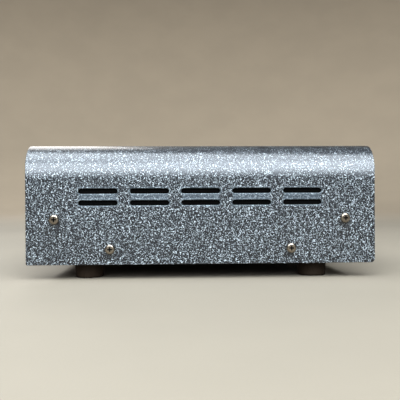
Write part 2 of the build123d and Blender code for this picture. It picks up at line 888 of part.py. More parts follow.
# ---------------------------------------------------------------- jack sockets
def jack(wall_thickness):
    """A socket for a 6.35 mm plug. Z = 0 is the inner face of the panel, and the plug comes in along -Z."""
    with BuildPart() as socket:
        with BuildSketch():
            RectangleRounded(jack_size, jack_size, jack_corner)
        extrude(amount=-jack_depth)
        with BuildSketch():
            Circle(jack_bush)
        extrude(amount=wall_thickness + jack_proud)
        with BuildSketch(Plane.XY.offset(wall_thickness + jack_proud)):
            Circle(jack_bore)
        extrude(amount=-(jack_depth + wall_thickness + jack_proud - jack_end), mode=Mode.SUBTRACT)
        rim = socket.faces().sort_by(Axis.Z)[-1].edges()
        chamfer(rim, jack_mouth)
    return socket.part


front_jack = jack(front_wall)
for name, spot in zip(["input_jack", "footswitch_jack", "phones_jack"], front_jack_spots):
    with BuildPart() as front_socket:
        with Locations(wall(front_inside)):
            with Locations(spot):
                add(front_jack)
    front_socket.part.label = name
    export_step(front_socket.part, f"parts/{name}.step")

rear_jack = jack(sheet)
for name, spots in (("speaker_jacks", speaker_spots), ("effects_jacks", effects_spots)):
    with BuildPart() as rear_sockets:
        with Locations(rear_wall(rear_inside)):
            with Locations(*[(-x, z) for x, z in spots]):
                add(rear_jack)
    rear_sockets.part.label = name
    export_step(rear_sockets.part, f"parts/{name}.step")

jack_nut = hex_nut(jack_nut_radius, jack_bush + thread_gap, jack_nut_height)
with BuildPart() as jack_nuts:
    with Locations(wall(front_face)):
        with Locations(*front_jack_spots):
            add(jack_nut)
    with Locations(rear_wall(rear_face)):
        with Locations(*[(-x, z) for x, z in speaker_spots + effects_spots]):
            add(jack_nut)
jack_nuts.part.label = "jack_nuts"
export_step(jack_nuts.part, "parts/jack_nuts.step")

# ---------------------------------------------------------------- mains inlet
pin_low = plug_z - pin_drop
pin_spots = [(inlet_x - pin_span / 2, pin_low), (inlet_x + pin_span / 2, pin_low), (inlet_x, plug_z + earth_rise)]
with BuildPart() as power_inlet:
    with BuildSketch(wall(rear_face)):
        with Locations((inlet_x, inlet_z)):
            RectangleRounded(inlet_flange_width, inlet_flange_height, inlet_flange_corner)
    extrude(amount=-inlet_flange)
    chamfer(power_inlet.faces().sort_by(Axis.Y)[-1].edges(), inlet_flange / 5)
    with BuildSketch(wall(rear_face)):
        with Locations((inlet_x, inlet_z)):
            Rectangle(inlet_width, inlet_height)
    extrude(amount=rear_face - inlet_back)
    with BuildSketch(wall(inlet_face)):
        with Locations((inlet_x, plug_z)):
            plug_outline = Rectangle(plug_width, plug_height)
        chamfer(plug_outline.vertices().group_by(Axis.Y)[-1], plug_corner)
    extrude(amount=plug_depth, mode=Mode.SUBTRACT)
    with BuildSketch(wall(inlet_face)):
        with Locations((inlet_x, drawer_z)):
            Rectangle(drawer_width + 2 * drawer_gap, drawer_height + 2 * drawer_gap)
    extrude(amount=drawer_depth + drawer_gap, mode=Mode.SUBTRACT)
    with BuildSketch(wall(inlet_face)):
        with Locations(*pin_spots):
            Rectangle(pin_width, pin_height)
    extrude(amount=inlet_face - inlet_back, mode=Mode.SUBTRACT)
    with BuildSketch(wall(inlet_face)):
        with Locations((inlet_x, inlet_z)):
            with GridLocations(inlet_screw_span, 0, 2, 1):
                Circle(m3_hole)
    extrude(amount=inlet_flange, mode=Mode.SUBTRACT)
power_inlet.part.label = "power_inlet"
export_step(power_inlet.part, "parts/power_inlet.step")

with BuildPart() as inlet_pins:
    with BuildSketch(wall(inlet_face - plug_depth + pin_reach)):
        with Locations(*pin_spots):
            Rectangle(pin_width, pin_height)
    extrude(amount=inlet_face - plug_depth + pin_reach - inlet_back + tag_length)
    chamfer(inlet_pins.faces().group_by(Axis.Y)[-1].edges(), pin_width / 5)
inlet_pins.part.label = "inlet_pins"
export_step(inlet_pins.part, "parts/inlet_pins.step")

with BuildPart() as inlet_screws:
    with Locations(rear_wall(inlet_face)):
        with Locations((-inlet_x, inlet_z)):
            with GridLocations(inlet_screw_span, 0, 2, 1):
                add(short_screw)
inlet_screws.part.label = "inlet_screws"
export_step(inlet_screws.part, "parts/inlet_screws.step")

drawer_back = inlet_face - drawer_depth
fuse_y = drawer_back + (drawer_depth - fuse_radius) / 2
with BuildPart() as fuse_drawer:
    with BuildSketch(wall(inlet_face + drawer_gap)):
        with Locations((inlet_x, drawer_z)):
            Rectangle(drawer_width, drawer_height)
    extrude(amount=drawer_depth + drawer_gap)
    with BuildSketch(wall(inlet_face + drawer_gap)):
        with Locations((inlet_x, drawer_z)):
            RectangleRounded(drawer_face_width, drawer_face_height, drawer_corner)
    extrude(amount=-drawer_face)
    with BuildSketch(wall(inlet_face + drawer_gap + drawer_face)):
        with Locations((inlet_x, drawer_z - drawer_face_height / 2)):
            SlotOverall(drawer_face_width / 2, drawer_height / 2)
    extrude(amount=drawer_face / 2, mode=Mode.SUBTRACT)
    with BuildSketch(Plane.XY.offset(drawer_z - fuse_radius - fuse_gap)):
        with Locations((inlet_x, fuse_y)):
            Rectangle(fuse_length + 2 * fuse_gap, 2 * (fuse_radius + fuse_cap_thickness + fuse_gap))
    extrude(amount=drawer_height, mode=Mode.SUBTRACT)
fuse_drawer.part.label = "fuse_drawer"
export_step(fuse_drawer.part, "parts/fuse_drawer.step")

with BuildPart() as fuse:
    with BuildSketch(side(inlet_x - fuse_length / 2)):
        with Locations((fuse_y, drawer_z)):
            Circle(fuse_radius - fuse_cap_thickness)
    extrude(amount=fuse_length)
    with BuildSketch(side(inlet_x - fuse_length / 2), side(inlet_x + fuse_length / 2 - fuse_cap_length)):
        with Locations((fuse_y, drawer_z)):
            Circle(fuse_radius)
    extrude(amount=fuse_cap_length)
fuse.part.label = "fuse"
export_step(fuse.part, "parts/fuse.step")

# ---------------------------------------------------------------- power switch
with BuildPart() as switch_frame:
    with BuildSketch(wall(rear_face)):
        with Locations((switch_x, switch_z)):
            bezel_width = switch_body_width + 2 * switch_side_rim
            bezel_height = switch_body_height + 2 * switch_end_rim
            RectangleRounded(bezel_width, bezel_height, switch_corner)
    extrude(amount=-switch_bezel)
    fillet(switch_frame.faces().sort_by(Axis.Y)[-1].edges(), switch_bezel / 3)
    with BuildSketch(wall(rear_face)):
        with Locations((switch_x, switch_z)):
            Rectangle(switch_body_width, switch_body_height)
    extrude(amount=switch_depth + sheet)
    with BuildSketch(wall(bezel_face)):
        with Locations((switch_x, switch_z)):
            Rectangle(rocker_width + 2 * rocker_gap, 2 * (rocker_reach + rocker_gap))
    extrude(amount=switch_well, mode=Mode.SUBTRACT)
    with BuildSketch(side(switch_x - rocker_width / 2 - rocker_pin_length)):
        with Locations((rocker_pivot, switch_z)):
            Circle(rocker_pin + running_gap)
    extrude(amount=rocker_width + 2 * rocker_pin_length, mode=Mode.SUBTRACT)
switch_frame.part.label = "switch_frame"
export_step(switch_frame.part, "parts/switch_frame.step")

# in the rocker's own sketch X points out of the case and Y points up, with its pivot at the origin
rocker_rise = rocker_reach * tan(radians(rocker_tilt))
with BuildPart() as rocker_shape:
    with BuildSketch(Plane.YZ.offset(-rocker_width / 2)):
        with BuildLine():
            Polyline(
                (rocker_crown, 0),
                (rocker_crown + rocker_rise, rocker_reach),
                (0, rocker_reach),
                (-rocker_belly, rocker_keel / 2),
                (-rocker_belly, -rocker_keel / 2),
                (0, -rocker_reach),
                (rocker_crown + rocker_rise, -rocker_reach),
                close=True,
            )
        make_face()
        Circle(rocker_reach, mode=Mode.INTERSECT)
    extrude(amount=rocker_width)
    with BuildSketch(Plane.YZ.offset(-rocker_width / 2 - rocker_pin_length + rocker_gap)):
        Circle(rocker_pin)
    extrude(amount=rocker_width + 2 * (rocker_pin_length - rocker_gap))
with BuildPart() as power_rocker:
    with Locations((switch_x, rocker_pivot, switch_z)):
        add(rocker_shape.part, rotation=(-rocker_tilt, 0, 0))
power_rocker.part.label = "power_rocker"
export_step(power_rocker.part, "parts/power_rocker.step")

# ---------------------------------------------------------------- boards
with BuildPart() as main_board:
    with BuildSketch(Plane.XY.offset(board_bottom)):
        with Locations((0, board_y)):
            Rectangle(board_width, board_depth)
            with GridLocations(*standoff_grid):
                Circle(m3_hole, mode=Mode.SUBTRACT)
    extrude(amount=board_thickness)
main_board.part.label = "main_board"
export_step(main_board.part, "parts/main_board.step")

with BuildPart() as board_standoffs:
    with BuildSketch(Plane.XY.offset(pan_top)):
        with Locations((0, board_y)):
            with GridLocations(*standoff_grid):
                RegularPolygon(standoff_radius, 6)
                Circle(m3_thread, mode=Mode.SUBTRACT)
    extrude(amount=standoff_height)
board_standoffs.part.label = "board_standoffs"
export_step(board_standoffs.part, "parts/board_standoffs.step")

with BuildPart() as preamp_board:
    with BuildSketch(wall(preamp_board_front)):
        with Locations((0, knob_row)):
            Rectangle(2 * (tray_inside - preamp_board_gap), preamp_board_height)
    extrude(amount=-board_thickness)
preamp_board.part.label = "preamp_board"
export_step(preamp_board.part, "parts/preamp_board.step")

with BuildPart() as board_components:
    with BuildSketch(Plane.XY.offset(board_top)):
        with Locations((ribbon_x, ribbon_y)):
            Rectangle(ribbon_width + 2 * header_margin, header_depth)
        with Locations(film_middle):
            with GridLocations(*film_grid):
                Rectangle(*film_size)
        with Locations(chip_middle):
            with GridLocations(*chip_grid):
                Rectangle(*chip_size)
    extrude(amount=header_height)
    with BuildSketch(Plane.XY.offset(board_top)):
        with Locations(small_can_middle):
            with GridLocations(*small_can_grid):
                Circle(small_can)
        with Locations(large_can_middle):
            with GridLocations(*large_can_grid):
                Circle(large_can)
    extrude(amount=can_height)
    with BuildSketch(Plane.XY.offset(board_top)):
        with Locations(relay_middle):
            with GridLocations(*relay_grid):
                Rectangle(*relay_size)
        with Locations(terminal_middle):
            Rectangle(*terminal_size)
    extrude(amount=terminal_height)
board_components.part.label = "board_components"
export_step(board_components.part, "parts/board_components.step")

# ---------------------------------------------------------------- output stage
fin_pitch = (sink_length - sink_fin) / (sink_fins - 1)
with BuildPart() as heatsink:
    with BuildSketch(Plane.XY.offset(board_top)):
        with Locations((0, sink_y + sink_base / 2)):
            Rectangle(sink_length, sink_base)
        with Locations((0, sink_y + sink_base + sink_fin_length / 2)):
            with GridLocations(fin_pitch, 0, sink_fins, 1):
                Rectangle(sink_fin, sink_fin_length)
    extrude(amount=sink_height)
heatsink.part.label = "heatsink"
export_step(heatsink.part, "parts/heatsink.step")

device_bottom = board_top + device_lift
with BuildPart() as output_devices:
    with BuildSketch(wall(sink_y)):
        with Locations((0, device_bottom + device_height / 2)):
            with GridLocations(device_pitch, 0, device_count, 1):
                Rectangle(device_width, device_height)
    extrude(amount=device_thickness)
    with BuildSketch(wall(sink_y)):
        with Locations((0, device_bottom + device_tab_height / 2)):
            with GridLocations(device_pitch, 0, device_count, 1):
                Rectangle(device_width, device_tab_height)
                with Locations((0, device_tab_height / 2 - m3_head)):
                    Circle(m3_thread, mode=Mode.SUBTRACT)
    extrude(amount=device_tab)
    with BuildSketch(Plane.XY.offset(board_top)):
        with Locations((0, sink_y - device_thickness / 2)):
            with GridLocations(device_pitch, 0, device_count, 1):
                with GridLocations(device_lead_pitch, 0, 3, 1):
                    Rectangle(device_lead, device_lead)
    extrude(amount=device_lift)
output_devices.part.label = "output_devices"
export_step(output_devices.part, "parts/output_devices.step")

with BuildPart() as inductor:
    with BuildSketch():
        Circle(inductor_outer)
        Circle(inductor_inner, mode=Mode.SUBTRACT)
    extrude(amount=inductor_height)
    fillet(inductor.edges().filter_by(GeomType.CIRCLE), inductor_round)
with BuildPart() as output_inductors:
    with Locations(*[(x, y, board_top) for x, y in inductor_spots]):
        add(inductor.part)
output_inductors.part.label = "output_inductors"
export_step(output_inductors.part, "parts/output_inductors.step")

# ---------------------------------------------------------------- mains supply
core_middle = board_top + core_height / 2
window_height = core_height - 2 * core_limb
winding_half = 2 * core_limb - winding_gap
with BuildPart() as transformer_core:
    with BuildSketch(wall(transformer_y - core_stack / 2)):
        with Locations((transformer_x, core_middle)):
            Rectangle(core_width, core_height)
            with GridLocations(3 * core_limb, 0, 2, 1):
                Rectangle(core_limb, window_height, mode=Mode.SUBTRACT)
    extrude(amount=-core_stack)
transformer_core.part.label = "transformer_core"
export_step(transformer_core.part, "parts/transformer_core.step")

leg_width = 2 * (core_limb + winding_gap)
leg_depth = core_stack + 2 * winding_gap
winding_build = 2 * winding_half - leg_width
with BuildPart() as transformer_winding:
    with BuildSketch(Plane.XY.offset(core_middle - window_height / 2 + winding_gap)):
        with Locations((transformer_x, transformer_y)):
            RectangleRounded(2 * winding_half, leg_depth + winding_build, winding_round)
            Rectangle(leg_width, leg_depth, mode=Mode.SUBTRACT)
    extrude(amount=window_height - 2 * winding_gap)
transformer_winding.part.label = "transformer_winding"
export_step(transformer_winding.part, "parts/transformer_winding.step")

with BuildPart() as capacitor:
    with BuildSketch():
        Circle(capacitor_radius)
    extrude(amount=capacitor_height)
    fillet(capacitor.edges().sort_by(Axis.Z)[-1], capacitor_round)
with BuildPart() as filter_capacitors:
    with Locations(*[(x, y, board_top) for x, y in capacitor_spots]):
        add(capacitor.part)
filter_capacitors.part.label = "filter_capacitors"
export_step(filter_capacitors.part, "parts/filter_capacitors.step")

# ---------------------------------------------------------------- cooling fan on the right-hand side
fan_outer_face = tray_inside
fan_inner_face = fan_outer_face - fan_thickness
with BuildPart() as fan_frame:
    with BuildSketch(side(fan_outer_face)):
        with Locations((side_shift, fan_z)):
            RectangleRounded(fan_size, fan_size, fan_corner)
            Circle(fan_bore, mode=Mode.SUBTRACT)
            with GridLocations(fan_hole_span, fan_hole_span, 2, 2):
                Circle(m3_hole, mode=Mode.SUBTRACT)
    extrude(amount=-fan_thickness)
    with BuildSketch(side(fan_inner_face)):
        with Locations((side_shift, fan_z)):
            Circle(fan_motor)
            with PolarLocations((fan_motor + fan_bore) / 2, 4, start_angle=45):
                Rectangle(fan_bore - fan_motor + strut_width, strut_width)
    extrude(amount=fan_motor_thickness)
    with BuildSketch(side(fan_inner_face)):
        with Locations((side_shift, fan_z)):
            Circle(fan_pin)
    extrude(amount=fan_motor_thickness + fan_hub_height - fan_hub_cap)
fan_frame.part.label = "fan_frame"
export_step(fan_frame.part, "parts/fan_frame.step")

# the rotor's cup opens towards the motor; in the rotor's own frame +Z is the shaft
with BuildPart() as rotor_shape:
    with BuildSketch():
        Circle(fan_hub)
        Circle(fan_hub - fan_hub_cap, mode=Mode.SUBTRACT)
    extrude(amount=fan_hub_height)
    with BuildSketch(Plane.XY.offset(fan_hub_height)):
        Circle(fan_hub)
    extrude(amount=-fan_hub_cap)
    with BuildSketch():
        Circle(2 * fan_pin)
        Circle(fan_pin + running_gap, mode=Mode.SUBTRACT)
    extrude(amount=fan_hub_height - fan_hub_cap)
    blade_length = fan_bore - fan_hub + fan_hub_cap
    with Locations((0, 0, fan_hub_height / 2)):
        with PolarLocations(fan_hub - fan_hub_cap / 2 + blade_length / 2, fan_blades):
            Box(blade_length, blade_chord, blade_thickness, rotation=(blade_pitch, 0, 0))
    with BuildSketch(Plane.XY.offset(-fan_thickness)):
        Circle(fan_tip)
    extrude(amount=3 * fan_thickness, mode=Mode.INTERSECT)
with BuildPart() as fan_rotor:
    with Locations(side(fan_inner_face + fan_motor_thickness + rotor_gap)):
        with Locations((side_shift, fan_z)):
            add(rotor_shape.part)
fan_rotor.part.label = "fan_rotor"
export_step(fan_rotor.part, "parts/fan_rotor.step")

fan_screw = pan_screw(m3_head, m3_head_height, m3_head_round, m3_radius, fan_thickness + fan_screw_grip)
fan_screw_face = Plane(origin=(fan_inner_face, 0, 0), x_dir=(0, -1, 0), z_dir=(-1, 0, 0))
with BuildPart() as fan_screws:
    with Locations(fan_screw_face):
        with Locations((-side_shift, fan_z)):
            with GridLocations(fan_hole_span, fan_hole_span, 2, 2):
                add(fan_screw)
fan_screws.part.label = "fan_screws"
export_step(fan_screws.part, "parts/fan_screws.step")


# ---------------------------------------------------------------- internal wiring
def bend_radii(points):
    """The radius of the arc at each corner of a route: as large as its two runs allow."""
    radii = []
    for start, corner, end in zip(points, points[1:], points[2:]):
        arriving = Vector(corner) - Vector(start)
        leaving = Vector(end) - Vector(corner)
        half_turn = radians(arriving.get_angle(leaving) / 2)
        radii.append(run_share * min(arriving.length, leaving.length) / tan(half_turn))
    return radii


def lead(points, section):
    """A lead that keeps to a route of straight runs joined by tangent arcs."""
    with BuildPart() as tube:
        with BuildLine():
            route = FilletPolyline(*points, radius=bend_radii(points))
        with BuildSketch(Plane(origin=route @ 0, x_dir=(1, 0, 0), z_dir=route % 0)):
            add(section)
        sweep()
    return tube.part


with BuildSketch() as ribbon_section:
    Rectangle(ribbon_width, ribbon_thickness)
ribbon_top = knob_row - ribbon_drop
ribbon_route = [
    (ribbon_x, preamp_board_back, ribbon_top),
    (ribbon_x, preamp_board_back + ribbon_stub, ribbon_top),
    (ribbon_x, ribbon_y - ribbon_stub, (ribbon_top + board_top) / 2),
    (ribbon_x, ribbon_y, board_top + header_height + ribbon_rise),
    (ribbon_x, ribbon_y, board_top + header_height),
]
with BuildPart() as ribbon_cable:
    add(lead(ribbon_route, ribbon_section.sketch))
ribbon_cable.part.label = "ribbon_cable"
export_step(ribbon_cable.part, "parts/ribbon_cable.step")

# the points between a lead's ends are chosen to pass clear of the parts below
pin_tail = inlet_back - tag_length
jack_back = rear_inside - jack_depth
jack_tag = rear_jack_row + jack_tag_rise
winding_back = transformer_y + (leg_depth + winding_build) / 2
block_top = board_top + terminal_height
line_tap, neutral_tap = [transformer_x + tap for tap in winding_taps]
fan_tag = side_shift + fan_lead_shift
lead_routes = [
    [
        (inlet_x - pin_span / 2, pin_tail, pin_low),
        (inlet_x - pin_span / 2, pin_tail - lead_stub, pin_low),
        (68, 46, 56),
        (66, 20, 57),
        (line_tap, winding_back + winding_stub, winding_tap),
        (line_tap, winding_back, winding_tap),
    ],
    [
        (inlet_x + pin_span / 2, pin_tail, pin_low),
        (inlet_x + pin_span / 2, pin_tail - lead_stub, pin_low),
        (80, 46, 56),
        (72, 20, 57),
        (neutral_tap, winding_back + winding_stub, winding_tap),
        (neutral_tap, winding_back, winding_tap),
    ],
    [
        (fan_inner_face, fan_tag, fan_z),
        (fan_inner_face - fan_lead_stub, fan_tag, fan_z),
        (89, 10, 34),
        (88, 12, 26),
        (88, 12, board_top),
    ],
]
for jack_x, (pole_x, pole_y) in zip(speaker_jack_columns, terminal_poles):
    lead_routes.append(
        [
            (jack_x, jack_back, jack_tag),
            (jack_x, jack_back - lead_stub, jack_tag),
            (pole_x, pole_y, rear_jack_row),
            (pole_x, pole_y, block_top),
        ]
    )
with BuildSketch() as lead_section:
    Circle(wire_radius)
with BuildPart() as wiring_harness:
    for lead_route in lead_routes:
        add(lead(lead_route, lead_section.sketch))
wiring_harness.part.label = "wiring_harness"
export_step(wiring_harness.part, "parts/wiring_harness.step")
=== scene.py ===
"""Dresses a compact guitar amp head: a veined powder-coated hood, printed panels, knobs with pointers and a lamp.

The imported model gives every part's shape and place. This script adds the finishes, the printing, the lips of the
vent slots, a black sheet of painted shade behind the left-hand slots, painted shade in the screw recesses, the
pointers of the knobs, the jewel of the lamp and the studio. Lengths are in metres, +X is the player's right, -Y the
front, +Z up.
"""

import json
import logging
import math
from dataclasses import dataclass
from enum import Enum
from typing import Any, Iterable, Sequence

import bpy
import numpy as np
from mathutils import Matrix, Vector


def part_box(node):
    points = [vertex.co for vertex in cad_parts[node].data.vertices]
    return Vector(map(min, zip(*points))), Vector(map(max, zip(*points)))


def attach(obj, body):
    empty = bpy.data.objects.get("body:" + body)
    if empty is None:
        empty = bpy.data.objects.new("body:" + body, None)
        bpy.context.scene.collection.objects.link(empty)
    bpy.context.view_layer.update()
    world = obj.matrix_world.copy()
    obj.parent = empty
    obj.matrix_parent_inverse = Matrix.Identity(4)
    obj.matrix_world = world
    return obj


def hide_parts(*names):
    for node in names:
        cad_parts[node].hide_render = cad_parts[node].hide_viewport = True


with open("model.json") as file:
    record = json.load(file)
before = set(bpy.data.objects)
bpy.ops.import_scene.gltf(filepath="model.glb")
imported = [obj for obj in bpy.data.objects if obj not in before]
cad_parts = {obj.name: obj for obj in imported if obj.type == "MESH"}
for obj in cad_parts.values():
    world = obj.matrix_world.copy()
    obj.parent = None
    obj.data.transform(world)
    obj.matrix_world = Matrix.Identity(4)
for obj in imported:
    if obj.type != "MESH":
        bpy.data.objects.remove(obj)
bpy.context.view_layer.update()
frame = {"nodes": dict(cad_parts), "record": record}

logging.basicConfig(level=logging.INFO, format="%(message)s")
log = logging.getLogger("amp")

MM = 0.001
Socket = bpy.types.NodeSocket
Colour = tuple[float, float, float]
Triple = tuple[float, float, float]
Pair = tuple[float, float]
Mesh = tuple[np.ndarray, Any]


class Cells(Enum):
    """The outline of the cells in a cell pattern."""

    ROUND = "EUCLIDEAN"
    SQUARE = "CHEBYCHEV"


@dataclass(frozen=True)
class VentRows:
    """The vent slots of one side of the hood."""

    columns: int = 5
    rows: int = 2
    pitch: float = 30.7 * MM
    row_pitch: float = 7.1 * MM
    middle_y: float = 0.7 * MM
    middle_z: float = 49.2 * MM
    length: float = 23.8 * MM
    width: float = 3.5 * MM


VENTS = VentRows()


class Graph:
    """One material's node tree, with short calls that add a node and link it."""

    def __init__(self, name: str) -> None:
        """Starts an empty material.

        Args:
            name: The material's name.
        """
        self.material = bpy.data.materials.new(name)
        self.material.use_nodes = True
        self.tree = self.material.node_tree
        self.tree.nodes.clear()
        self.place = self.add("ShaderNodeTexCoord").outputs["Object"]

    def add(self, kind: str, inputs: dict[str | int, Any] | None = None, **settings: Any) -> bpy.types.Node:
        """Adds a node.

        Args:
            kind: Blender's name for the node.
            inputs: Values or sockets for its inputs, by name or by index.
            settings: The node's own options.

        Returns:
            The new node.
        """
        node = self.tree.nodes.new(kind)
        for option, value in settings.items():
            setattr(node, option, value)
        for key, value in (inputs or {}).items():
            if isinstance(value, Socket):
                self.tree.links.new(value, node.inputs[key])
            else:
                node.inputs[key].default_value = value
        return node

    def stretched(self, x: float, y: float, z: float) -> Socket:
        """Object coordinates with each axis scaled by its own factor."""
        return self.add("ShaderNodeMapping", {"Vector": self.place, "Scale": (x, y, z)}).outputs[0]

    def noise(self, scale: float, detail: float = 2.0, rough: float = 0.5, warp: float = 0.0,
              vector: Socket | None = None) -> Socket:
        """Fractal noise.

        Args:
            scale: Its coarsest waves to the metre.
            detail: How many finer layers are added.
            rough: The strength of each layer against the one before.
            warp: How far the noise bends itself.
            vector: The coordinates it reads, or None for object coordinates.

        Returns:
            Values between 0 and 1.
        """
        inputs = {"Vector": vector or self.place, "Scale": scale, "Detail": detail, "Roughness": rough,
                  "Distortion": warp}
        return self.add("ShaderNodeTexNoise", inputs).outputs["Fac"]

    def cells(self, scale: float, outline: Cells, uneven: float = 1.0) -> Socket:
        """The distance to the nearest middle of a cell pattern, which is regular at uneven 0 and random at 1."""
        return self.add("ShaderNodeTexVoronoi", {"Vector": self.place, "Scale": scale, "Randomness": uneven},
                        feature="F1", distance=outline.value).outputs["Distance"]

    def maths(self, operation: str, first: Socket | float, second: Socket | float = 0.0) -> Socket:
        """One arithmetic step on numbers or sockets."""
        return self.add("ShaderNodeMath", {0: first, 1: second}, operation=operation).outputs[0]

    def levels(self, value: Socket, low: float, high: float, to_low: float = 0.0, to_high: float = 1.0) -> Socket:
        """Maps one range to another along a smooth step, clamped at both ends.

        Args:
            value: What is mapped.
            low: Where the step starts.
            high: Where it ends.
            to_low: The result up to low.
            to_high: The result from high on.

        Returns:
            The mapped value.
        """
        inputs = {"Value": value, "From Min": low, "From Max": high, "To Min": to_low, "To Max": to_high}
        node = self.add("ShaderNodeMapRange", inputs, interpolation_type="SMOOTHSTEP")
        return node.outputs["Result"]

    def blend(self, factor: Socket, first: Socket | Colour, second: Socket | Colour) -> Socket:
        """Mixes two colours.

        Args:
            factor: The share of the second colour.
            first: The colour where the factor is 0.
            second: The colour where it is 1.

        Returns:
            The mixed colour.
        """
        node = self.add("ShaderNodeMix", data_type="RGBA")
        for key, value in (("Factor", factor), ("A", first), ("B", second)):
            socket = next(s for s in node.inputs if s.name == key and s.enabled)
            if isinstance(value, Socket):
                self.tree.links.new(value, socket)
            else:
                socket.default_value = (*value, 1.0)
        return next(s for s in node.outputs if s.enabled)

    def relief(self, height: Socket, depth: float, over: Socket | None = None) -> Socket:
        """Bends the shading normal by a height pattern.

        Args:
            height: The pattern, from 0 to 1.
            depth: How deep the pattern is.
            over: The normal that is bent, or None for the mesh's own.

        Returns:
            The bent normal.
        """
        inputs: dict[str | int, Any] = {"Height": height, "Distance": depth}
        if over is not None:
            inputs["Normal"] = over
        return self.add("ShaderNodeBump", inputs).outputs["Normal"]

    def finish(self, **surface: Any) -> bpy.types.Material:
        """Ends the tree with one surface shader.

        Args:
            surface: The shader's inputs, in lower case with underscores.

        Returns:
            The finished material.
        """
        names = {"ior": "IOR", "coat_ior": "Coat IOR", "specular": "Specular IOR Level"}
        inputs = {names.get(key, key.replace("_", " ").title()): value for key, value in surface.items()}
        for key, value in inputs.items():
            if isinstance(value, tuple) and len(value) == 3:
                inputs[key] = (*value, 1.0)
        shader = self.add("ShaderNodeBsdfPrincipled", inputs)
        output = self.add("ShaderNodeOutputMaterial")
        self.tree.links.new(shader.outputs["BSDF"], output.inputs["Surface"])
        return self.material


